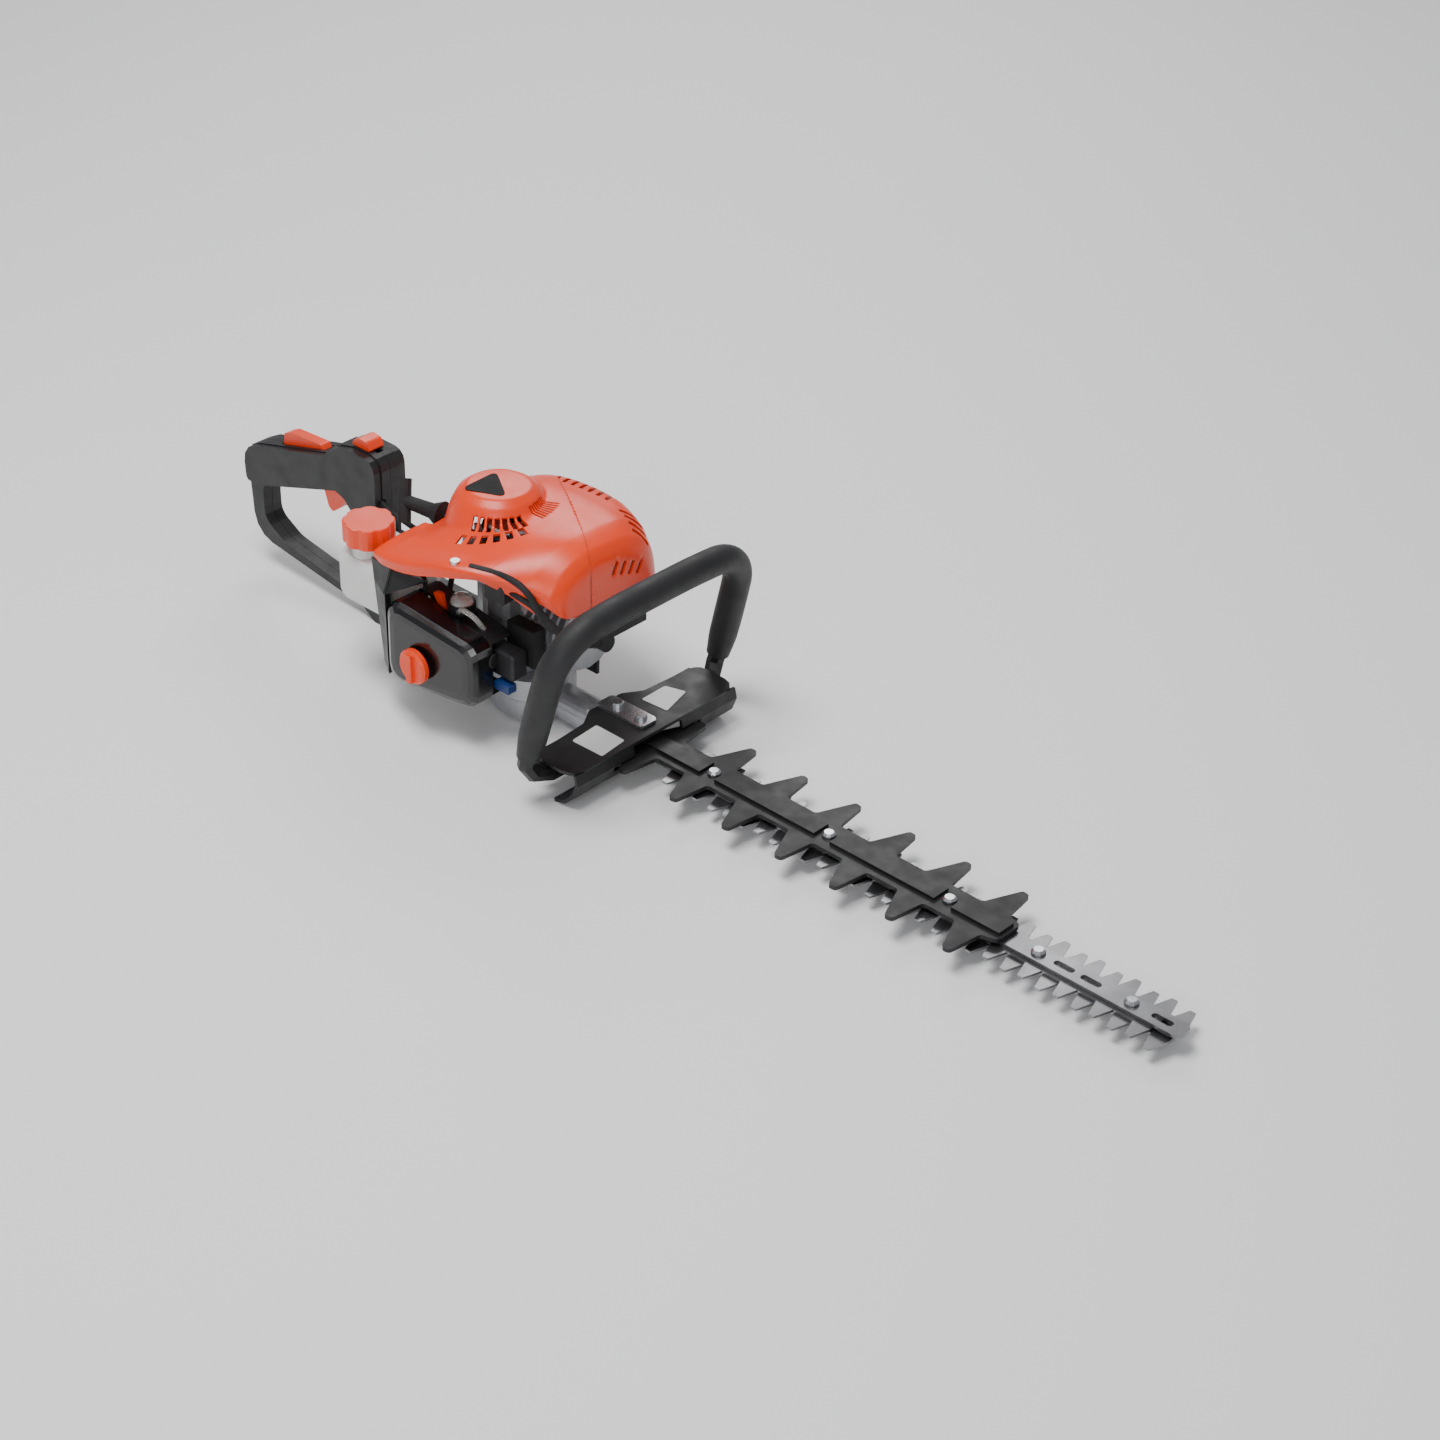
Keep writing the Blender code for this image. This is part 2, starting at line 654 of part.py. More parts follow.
def piston_group():
    pin_x = CRANK_X - CRANK_RADIUS
    wrist_x = pin_x + ROD_LENGTH
    outline = strip([(pin_x, 0), (wrist_x, 0)], 7)
    connecting_rod = plate("connecting_rod", "xy", 86.5, 95.5, outline)
    join(connecting_rod, rod("big_end", (pin_x, 0, 86.5), (pin_x, 0, 95.5), 9, 16))
    join(connecting_rod, rod("small_end", (wrist_x, 0, 86.5), (wrist_x, 0, 95.5), 7.5, 16))
    join(connecting_rod, rod("crank_pin", (pin_x, 0, 84.4), (pin_x, 0, 97.6), 4.5, 14))
    cut(connecting_rod, rod("small_eye", (wrist_x, 0, 80), (wrist_x, 0, 100), 4.3, 12))
    piston = turned("piston", [(15.6, 12), (15.6, -14), (12.6, -14), (12.6, 9), (0, 9), (0, 12)],
                    (wrist_x, 0, CYLINDER_Z), (1, 0, 0), 24)
    join(piston, rod("piston_pin", (wrist_x, 0, 77), (wrist_x, 0, 105), 3.9, 12))
    for thing, look in ((connecting_rod, DARK_STEEL), (piston, CAST)):
        finish(pivot(thing, pin_x, 0, CYLINDER_Z), look)


def cylinder():
    """Finned barrel and head in one casting, bored from the crankcase side."""
    profile = [(0, 53), (18, 53)]
    fins, pitch, thick = 6, 8.4, 2.6
    for k in range(fins):
        top = 52.5 - k * pitch
        profile += [(18, top), (FIN_R, top), (FIN_R, top - thick), (20, top - thick)]
    profile += [(26, 3), (26, 0), (16.3, 0), (16.3, 46), (0, 46)]
    thing = turned("cylinder", profile, (-141.7, 0, CYLINDER_Z), (1, 0, 0), 16)
    cut(thing, rod("plug_hole", (-110, 0, CYLINDER_Z), (-80, 0, CYLINDER_Z), 5.2, 12))
    join(thing, box("intake_port", (-130, -31.5, 82), (-112, -19, 100)))
    join(thing, box("exhaust_port", (-132, 19, 82), (-108, 32, 100)))
    return finish(thing, CAST)


def spark_plug():
    profile = [(0, 24), (2.6, 24), (2.6, 21), (4.4, 20), (4.4, 13), (8, 12.5), (8, 7.5),
               (4.8, 7.2), (4.8, -2), (0, -2)]
    thing = turned("spark_plug", profile, (-95.5, 0, CYLINDER_Z), (1, 0, 0), 12)
    return finish(thing, STEEL)


LEAD_ROUTE = ((-123.3, -53, 139), (-114, -54, 139), (-101, -49, 132.5), (-90, -44, 120),
              (-81, -36, 108), (-77, -24.0, 100))


def spark_plug_boot():
    thing = rod("spark_plug_boot", (-82, 0, CYLINDER_Z), (-68, 0, CYLINDER_Z), 7.5, 14)
    join(thing, rod("boot_elbow", (-74, 0, CYLINDER_Z), (-76, -22, 99), 6.2, 12, 5.0))
    cut(thing, rod("boot_socket", (-90, 0, CYLINDER_Z), (-70.5, 0, CYLINDER_Z), 5.0, 12))
    return finish(thing, RUBBER)


def ignition():
    coil = box("ignition_coil", (-146, -60, 126), (-124, -46, 145))
    soften(coil, 2)
    finish(coil, BLACK)
    finish(tube("ignition_lead", smooth_route(LEAD_ROUTE, 15), 3.2, 2), RUBBER)


def muffler():
    thing = box("muffler", (-146, 36, 66), (-98, 74, 122))
    soften(thing, 6, 2)
    join(thing, box("muffler_inlet", (-132, 32.4, 80), (-108, 40, 102)))
    finish(thing, DARK_STEEL)


def carburetor():
    insulator = box("intake_insulator", (-136, -44.6, 70), (-106, -31.9, 103))
    finish(insulator, BLACK, smooth=False)
    body = box("carburetor", (-190, -62.3, 62), (-112, -45, 86))
    soften(body, 2)
    join(body, rod("primer_neck", (-174.4, -56.6, 84), (-174.4, -56.6, 102.2), 6.4, 16))
    join(body, rod("primer_base", (-174, -57, 101.6), (-174, -57, 109.3), 11.3, 20))
    cut(body, rod("primer_well", (-174, -57, 102.7), (-174, -57, 120), 9.7, 20))
    finish(body, CAST)
    bulb = turned("primer_bulb", [(0, 15), (4, 14.5), (7, 13), (8.7, 10.6), (9.3, 8), (9.3, 5), (0, 5)],
                  (-174, -57, 101.5), steps=20)
    finish(pivot(bulb, -174, -57, 106.5), CLEAR)
    lever = plate("choke_lever", "xz", -66.4, -63.4,
                  fillet([(-189, 88, 2), (-181, 88, 2), (-184, 100, 2), (-187, 115, 2), (-198, 113, 2),
                          (-190, 100, 2)], 2))
    finish(pivot(lever, -185, -65, 91), ORANGE, smooth=False)


def cleaner_ring(depth, inset, wall=0.0):
    """One ring of the air cleaner cover; depth runs from the back face (0) to the outer face (1)."""
    rear, front = -220.0 + wall, -128.5 - wall
    corners = [(rear + inset, 35 + wall + inset, 12), (front - inset, 40 + wall + inset, 12),
               (front - inset, 96 - wall - inset, 12), (rear + inset, 110 - wall - inset, 9)]
    points = []
    for x, z in fillet(corners, 3):
        share = (x - rear) / (front - rear)
        outer = -100 + wall + 11 * share
        points.append((x, -68.6 + depth * (outer + 68.6), z))
    return points


def air_cleaner():
    case = plate("air_cleaner_case", "xz", -78, -66.5,
                 fillet([(-215, 42, 8), (-135, 47, 8), (-135, 88, 8), (-215, 101, 8)], 2))
    join(case, plate("case_housing", "xz", -68.2, -45,
                     fillet([(-219, 37, 8), (-130, 42, 8), (-130, 94.5, 6), (-219, 108, 6)], 2)))
    cut(case, plate("case_room", "xz", -66, -40,
                    fillet([(-216, 40, 6), (-120, 45.6, 0), (-120, 90.2, 0), (-216, 105, 4)], 2)))
    cut(case, plate("case_corner", "yz", -135, -125, [(-68.2, 35), (-40, 35), (-40, 58)]))
    cut(case, box("lever_slot", (-217, -66.9, 84), (-176, -62.6, 120)))
    cut(case, rod("primer_hole", (-174.4, -56.6, 90), (-174.4, -56.6, 120), 7.4, 16))
    cut(case, rod("primer_seat", (-174, -57, 100.8), (-174, -57, 120), 11.8, 20))
    cut(case, rod("line_hole", (-226, -52, 95.8), (-210, -52, 91.5), 4.2, 12))
    cut(case, rod("intake_hole", (-150, -90, 66), (-150, -60, 66), 8, 14))
    cut(case, rod("stud_hole", (-184, -90, 64), (-184, -60, 64), 2.6, 10))
    finish(case, BLACK, smooth=False)
    side = loft("cleaner_side_panel", [
        [(-240, -83, 37), (-222.5, -94, 37), (-222.5, -89, 37), (-238, -80.3, 37)],
        [(-248.5, -83, 110), (-222.5, -95, 110), (-222.5, -89, 110), (-246, -80.3, 110)],
        [(-250.5, -83, 129.5), (-224, -86, 129.5), (-224, -80.5, 129.5), (-248, -80.3, 129.5)]])
    join(side, loft("side_gusset", [
        [(-225, -94.6, 111), (-226, -85.8, 129), (-190, -80, 131.5), (-221, -93, 111.4)],
        [(-225, -89, 111), (-226, -81, 127), (-190, -76.5, 129), (-221, -89, 111.4)]]))
    finish(side, BLACK, smooth=False)
    element = plate("air_filter", "xz", -83.5, -78.3,
                    fillet([(-214, 43, 8), (-139, 48, 8), (-139, 84, 8), (-214, 97, 8)], 2),
                    [circle(-184, 64, 5, 12)])
    finish(element, FOAM, smooth=False)
    cover = loft("air_cleaner_cover", [cleaner_ring(d, i) for d, i in
                                       ((0.0, 0), (0.72, 0), (0.9, 2.2), (0.98, 6), (1.0, 11))])
    inner = loft("cover_hollow", [cleaner_ring(d, i, 2.4) for d, i in
                                  ((-0.4, 0), (0.72, 0), (0.88, 2.2), (0.95, 6), (0.97, 11))])
    cut(cover, inner)
    cut(cover, rod("cover_stud_hole", (-184, -120, 64), (-184, -60, 64), 3.6, 12))
    finish(cover, GLOSS_BLACK)
    knob = turned("air_cleaner_knob", [(0, 4), (13, 4), (15, 2), (15, -2), (3.2, -2), (3.2, -13), (2.2, -14),
                                       (2.2, -27), (0, -27)], (-184, -100.6, 64), (0, -1, 0), 24)
    join(knob, box("knob_rib", (-187, -107.5, 51.5), (-181, -101, 76.5)))
    finish(pivot(knob, -184, -100.6, 64), ORANGE)


# ---------------------------------------------------------------- orange covers

COVER_STATIONS = (
    (-251, ((-82, 131), (-80, 136), (-60, 141), (-30, 143), (0, 146), (28, 146), (48, 138), (52, 122))),
    (-232, ((-87, 131), (-85, 141), (-60, 147), (-30, 158), (0, 166), (35, 166), (66, 150), (72, 114))),
    (-200, ((-88, 136), (-86, 147), (-62, 152), (-30, 166), (0, 174), (45, 172), (78, 156), (84, 108))),
    (-165, ((-84, 146), (-82, 156), (-62, 160), (-30, 169), (5, 174), (50, 174), (82, 160), (87, 100))),
    (-130, ((-68, 149), (-68, 155), (-50, 164), (-22, 172), (8, 174), (52, 173), (82, 158), (88, 96))),
    (-104, ((-52, 140), (-52, 150), (-38, 163), (-15, 172), (10, 173), (50, 170), (76, 152), (84, 96))),
    (-88, ((-44, 132), (-44, 143), (-32, 157), (-12, 166), (10, 167), (45, 163), (68, 144), (76, 96))),
    (-80, ((-38, 124), (-38, 135), (-28, 148), (-10, 156), (10, 157), (40, 153), (60, 136), (68, 96))),
)
DOME_X = -190.0
DOME_Y = 0.0
DOME_PROFILE = ((0, 187), (26, 186), (34, 182), (42, 173), (48, 162), (50, 150), (0, 150))


def cover_rings(wall=0.0, drop=0.0):
    """Rings of the cover's skin, inset by wall, with their open edge lowered by drop."""
    rings = []
    for x, points in COVER_STATIONS:
        ends = {COVER_STATIONS[0][0]: wall, COVER_STATIONS[-1][0]: -wall}
        ring_x = x + ends.get(x, 0.0)
        centre = Vector((0, 120))
        section = []
        for i, point in enumerate(points):
            here = Vector(point)
            inward = (centre - here).normalized() * wall
            low = drop if i in (0, len(points) - 1) else 0.0
            section.append((ring_x, here.x + inward.x, here.y + inward.y - low))
        rings.append(section)
    return rings


def cover_shell(name, side):
    """One of the two orange covers: the skin on its own side of the seam plane."""
    thing = loft(name, cover_rings())
    join(thing, turned(name + "_dome", DOME_PROFILE, (DOME_X, DOME_Y, 0), steps=28))
    hollow = loft(name + "_hollow", cover_rings(2.6, 60))
    inner = [(max(r - 2.4, 0), h - 2.4) for r, h in DOME_PROFILE[:-1]] + [(0, 148)]
    join(hollow, turned(name + "_dome_hollow", inner, (DOME_X, DOME_Y, 0), steps=28))
    cut(thing, hollow)
    seam = Vector((-184 + 90.7, 60)).normalized()
    normal = Vector((seam.y, -seam.x)) * side
    reach = 300.0
    start = Vector((-90.7, 0)) + normal * 0.15
    corners = [start + seam * reach, start - seam * reach,
               start - seam * reach + normal * reach, start + seam * reach + normal * reach]
    keep_inside(thing, plate(name + "_half", "xy", 40, 240, corners))
    return thing


def covers():
    fan = cover_shell("fan_cover", -1)
    post = rod("pulley_post", (CRANK_X, 0, PULLEY_Z - 0.5), (CRANK_X, 0, 185), 5.0, 16)
    join(fan, post)
    join(fan, box("recess_block", (-250.8, -28, 126), (-236.5, 5, 143)))
    join(fan, box("recess_back", (-241, -28, 126), (-236.5, 5, 149.5)))
    cut(fan, box("grip_recess", (-270, -26, 128), (-241, 3, 190)))
    cut(fan, rod("rope_eye", (-248, -12, 141.2), (-222, -6.2, 139.8), 4.0, 12))
    finish(fan, ORANGE)
    finish(cover_shell("muffler_cover", 1), ORANGE)


def cylinder_shroud():
    """Black lower panel under the front of the covers."""
    thing = box("cylinder_shroud", (-87.5, 12, 80), (-84.5, 60, 95))
    join(thing, plate("shroud_fin", "xz", 32.6, 35.4,
                      [(-132, 28), (-113.5, 28), (-112.5, 57), (-98, 72), (-87, 78), (-87, 94),
                       (-96, 94), (-106, 78), (-132, 60)]))
    return finish(thing, BLACK, smooth=False)


# ---------------------------------------------------------------- starter

STEM_BASE = (-245.0, -11.2, 141.1)
BAR_CENTRE = (-281.0, -19.0, 143.0)


def starter():
    groove = [(PULLEY_R + 2, 9), (PULLEY_R + 2, 7.5), (PULLEY_R - 2, 6), (PULLEY_R - 2, 3),
              (PULLEY_R + 2, 1.5), (PULLEY_R + 2, 0), (SHAFT_R + GAP, 0), (SHAFT_R + GAP, 9)]
    pulley = turned("starter_pulley", groove, (CRANK_X, 0, PULLEY_Z), steps=24)
    finish(pivot(pulley, CRANK_X, 0, PULLEY_Z), BLACK)
    finish(ring("recoil_spring", 8, 22, (CRANK_X, 0, PULLEY_Z + 9.4), 5, steps=20), STEEL)
    rope_start = (CRANK_X - 4.5, -PULLEY_R - 4.6, PULLEY_Z + 4.5)
    rope_route = (rope_start, (-200, -20, 148), (-224, -8.2, 141.3), (-242.5, -10.7, 141))
    finish(tube("starter_rope", smooth_route(rope_route, 8), 1.6, 1), BLACK)
    stem = Vector(STEM_BASE) - Vector(BAR_CENTRE)
    along = stem.normalized()
    grip = rod("starter_grip", BAR_CENTRE, STEM_BASE, 5.5, 14, 7.0)
    flare_start = Vector(STEM_BASE) - along * 9
    join(grip, rod("grip_flare", flare_start, STEM_BASE, 7, 14, 11.5))
    across = Vector((0.35, -0.384, -0.854)) * 18
    join(grip, rod("grip_bar", Vector(BAR_CENTRE) - across, Vector(BAR_CENTRE) + across, 5.6, 12))
    finish(pivot(grip, *BAR_CENTRE), RUBBER)


# ---------------------------------------------------------------- fuel system

CAP_X, CAP_Y = -276.5, -62.0


def fuel_system():
    tank = box("fuel_tank", (-300, -79.5, 70), (-232, -22, 117))
    soften(tank, 9, 2)
    join(tank, rod("tank_neck", (CAP_X, CAP_Y, 108), (CAP_X, CAP_Y, 131), 14.5, 20))
    finish(tank, WHITE)
    lobes = 8
    outline = []
    for k in range(lobes * 4):
        angle = 2 * pi * k / (lobes * 4)
        dip = (0.0, 0.35, 1.9, 0.35)[k % 4]
        outline.append(Vector((CAP_X + (21.5 - dip) * cos(angle), CAP_Y + (21.5 - dip) * sin(angle))))
    cap = plate("fuel_cap", "xy", 126.5, 145, outline)
    soften(cap, 1.5)
    cut(cap, rod("cap_socket", (CAP_X, CAP_Y, 100), (CAP_X, CAP_Y, 136), 15.2, 20))
    finish(pivot(cap, CAP_X, CAP_Y, 126.5), ORANGE)
    line = smooth_route(((-230.8, -52, 96), (-218, -52, 95), (-204, -51, 84), (-191.4, -50, 80)), 8)
    finish(tube("fuel_line", line, 2.5, 2), CLEAR)


# ---------------------------------------------------------------- rear handle

HANDLE_OUTER = ((-493.5, 114, 22), (-386, 143.5, 12), (-372, 156.5, 10), (-352, 162, 8), (-319, 162, 12),
                (-319, 30, 2), (-307, 22, 3), (-307, 0, 3), (-336, 0, 4), (-350, 9.5, 8),
                (-447, 22, 40), (-487, 27, 26))
HANDLE_INNER = ((-474.5, 79, 10), (-383, 112, 5), (-363, 110, 6), (-350, 92, 12), (-347, 16, 10),
                (-449, 31.5, 30), (-474.5, 46, 14))
GRIP_OUTLINE = ((-493.5, 114, 22), (-386, 143.5, 12), (-366, 148, 5), (-352, 120, 8),
                (-372, 113.5, 5), (-474.5, 79, 10), (-490.8, 79, 5))
HEAD_OUTLINE = ((-386, 143.5, 12), (-372, 156.5, 10), (-352, 162, 8), (-319, 162, 12),
                (-319, 104, 10), (-345, 96, 8), (-360, 112, 8), (-380, 118, 8))
LAYER_INSET = 1.0


def handle_half(name, side):
    """One moulded half of the D-shaped rear handle, split on the middle plane."""
    def layer(tag, outline, holes, start, half):
        near, far = sorted((side * start, side * half))
        return plate(tag, "xz", near, far, outline, holes)

    thing = layer(name, fillet(HANDLE_OUTER, 3), [fillet(HANDLE_INNER, 3)], 0.15, STRUT_HALF)
    grip, head = (inset(fillet(outline, 3), LAYER_INSET) for outline in (GRIP_OUTLINE, HEAD_OUTLINE))
    join(thing, layer(name + "_grip", grip, (), 2.0, GRIP_HALF))
    join(thing, layer(name + "_head", head, (), 3.0, HEAD_HALF))
    inner, outer = sorted((-side * 5, side * 5.6))
    cut(thing, plate(name + "_trigger_slot", "xz", inner, outer,
                     [(-409, 90), (-409, 124.2), (-366, 124.2), (-366, 90)]))
    cut(thing, plate(name + "_lockout_slot", "xz", inner, outer,
                     [(-451, 109), (-451, 150), (-394, 150), (-394, 131), (-412, 127.5)]))
    inner, outer = sorted((-side * 5, side * 3.4))
    cut(thing, box(name + "_switch_slot", (-352, inner, 152), (-330, outer, 170)))
    inner, outer = sorted((-side * 5, side * 14.0))
    cut(thing, box(name + "_head_room", (-356, inner, 112), (-325, outer, 148)))
    return finish(thing, BLACK)


def rear_handle():
    right = handle_half("rear_handle_right", -1)
    left = handle_half("rear_handle_left", 1)
    for half in (right, left):
        cut(half, rod(half.name + "_cable_hole", (-340, -9, 128), (-300, -9, 116), 3.2, 10))
    trigger = plate("throttle_trigger", "xz", -5, 5,
                    fillet([(-392, 118, 2), (-374, 123, 3), (-371, 104, 4), (-379, 92, 5), (-389, 84, 3),
                            (-394, 88, 3), (-399, 104, 3)], 2))
    finish(pivot(trigger, -380, 0, 118), ORANGE, smooth=False)
    lockout = plate("throttle_lockout", "xz", -5, 5,
                    fillet([(-448, 121, 2), (-447, 137, 3), (-438, 141, 3), (-400, 143.5, 2),
                            (-396.5, 138, 2), (-401, 133.5, 2), (-420, 129, 4)], 2))
    finish(pivot(lockout, -401, 0, 136), ORANGE, smooth=False)
    switch_side = [(-356, 162.4, 1), (-354, 167, 2), (-347, 171, 2), (-338, 170, 3), (-334, 162.4, 1)]
    switch = plate("stop_switch", "xz", -8, 8, fillet(switch_side, 2))
    join(switch, box("switch_stem", (-350, -3, 155), (-342, 3, 164)))
    finish(pivot(switch, -346, 0, 162.4), ORANGE, smooth=False)
    cable = smooth_route(((-322, -9, 122), (-308, -10, 118), (-270, -10, 112), (-232, -14, 108),
                          (-212, -34, 100), (-201, -50, 92), (-191.8, -56, 90)), 16)
    finish(tube("throttle_cable", cable, 2.4, 2), BLACK)


def rear_frame():
    """Engine carrier behind the crankcase, held to the handle by two rubber mounts."""
    thing = box("rear_frame", (-305, -18, 30), (-299.5, 18, 96))
    join(thing, box("frame_beam", (-301, -16, 44), (-208.3, 16, 58)))
    finish(thing, BLACK, smooth=False)
    mount = box("rear_mount", (-318.7, -8.5, 32), (-305.3, 8.5, 92))
    finish(soften(mount, 2), RUBBER)


# ---------------------------------------------------------------- front handle and hand guard

LOOP_LEAN = ((-53.5, 27.5), (-18.5, 158.4))


def loop_point(y, height):
    """A point of the leaning loop; height runs from 0 at the bottom run to 1 at the top run."""
    (low_x, low_z), (top_x, top_z) = LOOP_LEAN
    return Vector((low_x + (top_x - low_x) * height, y, low_z + (top_z - low_z) * height))


def loop_route(first_height):
    """Centre line of half the loop, from the side at first_height to the middle of the top."""
    corner = 42.0
    rise = hypot(LOOP_LEAN[1][0] - LOOP_LEAN[0][0], LOOP_LEAN[1][1] - LOOP_LEAN[0][1])
    centre_height = 1 - corner / rise
    points = [loop_point(LOOP_HALF + 2.5, first_height), loop_point(LOOP_HALF + 1.5, 0.38)]
    for k in range(6):
        angle = pi / 2 * k / 5
        points.append(loop_point(LOOP_HALF - corner * (1 - cos(angle)),
                                 centre_height + sin(angle) * corner / rise))
    points.append(loop_point(30, 1.012))
    return points


def mirrored(half):
    return half + [Vector((p.x, -p.y, p.z)) for p in reversed(half)]


def front_handle():
    upper = loop_route(0.14)
    bend = [Vector((-46, 31.5, 22.3)), Vector((-46, 86, 22.3)), Vector((-49.5, 100.5, 26)),
            Vector((-51.5, 106.5, 36))]
    finish(tube("front_handle", mirrored(bend + upper), LOOP_TUBE_R, 2), BLACK)
    sleeve_start = Vector((-50.8, 106.6, 38.4))
    sleeve = tube("front_grip", mirrored([sleeve_start] + upper), LOOP_GRIP_R, 3, capped=False)
    wall = sleeve.modifiers.new("wall", "SOLIDIFY")
    wall.thickness = (LOOP_GRIP_R - LOOP_TUBE_R - 1.4) * MM
    wall.offset = -1
    finish(sleeve, RUBBER)


def hand_guard():
    """Moulded plate between the loop's ends, with a skirt that stands on the floor."""
    half = 92.5
    top = plate("hand_guard", "xy", 32, 35,
                fillet([(-58, -half, 10), (-14, -half, 14), (-14, half, 14), (-58, half, 10),
                        (-62, 34, 8), (-72, 18, 6), (-72, -18, 6), (-62, -34, 8)], 3))
    wall = strip([(-15.6, 33.5), (-13.5, 25), (-18, 13), (-27, 4.5), (-38, 1.5)], 3.0)
    for side in (-1, 1):
        near, far = sorted((side * 27.0, side * 90.0))
        join(top, plate(f"guard_skirt_{side + 1}", "xz", near, far, wall))
    rear_wall = strip([(-60, 33.5), (-60.5, 20)], 3.0)
    for side in (-1, 1):
        near, far = sorted((side * 36.0, side * 86.0))
        join(top, plate(f"guard_back_{side + 1}", "xz", near, far, rear_wall))
    cut(top, box("spike_notch", (-32, -49, 18), (0, 49, 24)))
    for x in (-58, -48, -32):
        cut(top, rod(f"guard_hole_{x}", (x, 0, 20), (x, 0, 40), 2.6, 10))
    finish(top, BLACK)
    bracket = plate("handle_bracket", "xy", 35.4, 38.2, rounded_box(-72.3, -22, -10, 9, 4, 3))
    for k, (x, low) in enumerate(((-58, 28), (-32, 30.5))):
        profile = [(0, 42), (4.2, 42), (5.2, 41), (5.2, 37), (2.3, 37), (2.3, low), (0, low)]
        join(bracket, turned(f"bracket_bolt_{k + 1}", profile, (x, 0, 0), steps=12))
    finish(bracket, STEEL, smooth=False)


# ---------------------------------------------------------------- assembly

blade("lower_blade", LOWER_BLADE_Z, LAST_TOOTH_LOWER_X)
blade("upper_blade", UPPER_BLADE_Z, LAST_TOOTH_LOWER_X - TOOTH_PITCH / 2)
guide_bar()
blade_guard()
blade_bolts()
drive_gear()
gear_bearing()
clutch_drum()
pinion_bearing()
clutch_shoes()
gear_case()
gear_case_cover()
crankcase()
crank_bearing()
crankshaft()
flywheel()
piston_group()
cylinder()
spark_plug()
spark_plug_boot()
ignition()
muffler()
carburetor()
air_cleaner()
covers()
cylinder_shroud()
starter()
fuel_system()
rear_handle()
rear_frame()
front_handle()
hand_guard()
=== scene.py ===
"""Looks for the hedge trimmer: materials, softened edges and the studio it stands in."""

import json
from math import cos, pi, radians, sin

import bmesh
import bpy
from mathutils import Matrix, Vector


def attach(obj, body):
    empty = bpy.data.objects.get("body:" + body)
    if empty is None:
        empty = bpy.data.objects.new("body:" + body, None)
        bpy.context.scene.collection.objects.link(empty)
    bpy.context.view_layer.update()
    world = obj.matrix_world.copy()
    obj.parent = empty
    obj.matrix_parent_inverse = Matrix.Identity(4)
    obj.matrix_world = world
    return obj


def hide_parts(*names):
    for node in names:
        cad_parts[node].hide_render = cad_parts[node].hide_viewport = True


MM = 0.001
CENTRING_X = -2.8

CAMERA_AT = (1.439285, -1.523325, 1.418518)
CAMERA_AZIMUTH = radians(42.377)
CAMERA_ELEVATION = radians(33.091)
CAMERA_ROLL = radians(1.2134)
CAMERA_LENS = 80.32
SENSOR = 36.0

SHARP_ANGLE = radians(35)
SHELL_SHARP_ANGLE = radians(50)
SOFT_EDGE = 0.45 * MM
WELD = 0.02 * MM
CURVE_STEP = 0.002
LEAST_SIDE = 0.05


def mm(x, y, z):
    """A point of the part's own millimetre frame in the scene's metres."""
    return Vector((x + CENTRING_X, y, z)) * MM


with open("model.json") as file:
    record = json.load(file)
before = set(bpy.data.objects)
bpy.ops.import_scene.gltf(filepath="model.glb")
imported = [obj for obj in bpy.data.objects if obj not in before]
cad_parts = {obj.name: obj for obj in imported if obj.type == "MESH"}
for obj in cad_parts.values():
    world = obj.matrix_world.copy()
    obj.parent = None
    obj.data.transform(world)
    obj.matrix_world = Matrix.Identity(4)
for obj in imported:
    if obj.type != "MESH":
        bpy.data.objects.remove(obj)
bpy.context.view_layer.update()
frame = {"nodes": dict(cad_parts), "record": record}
NODES = frame["nodes"]


# ---------------------------------------------------------------- materials

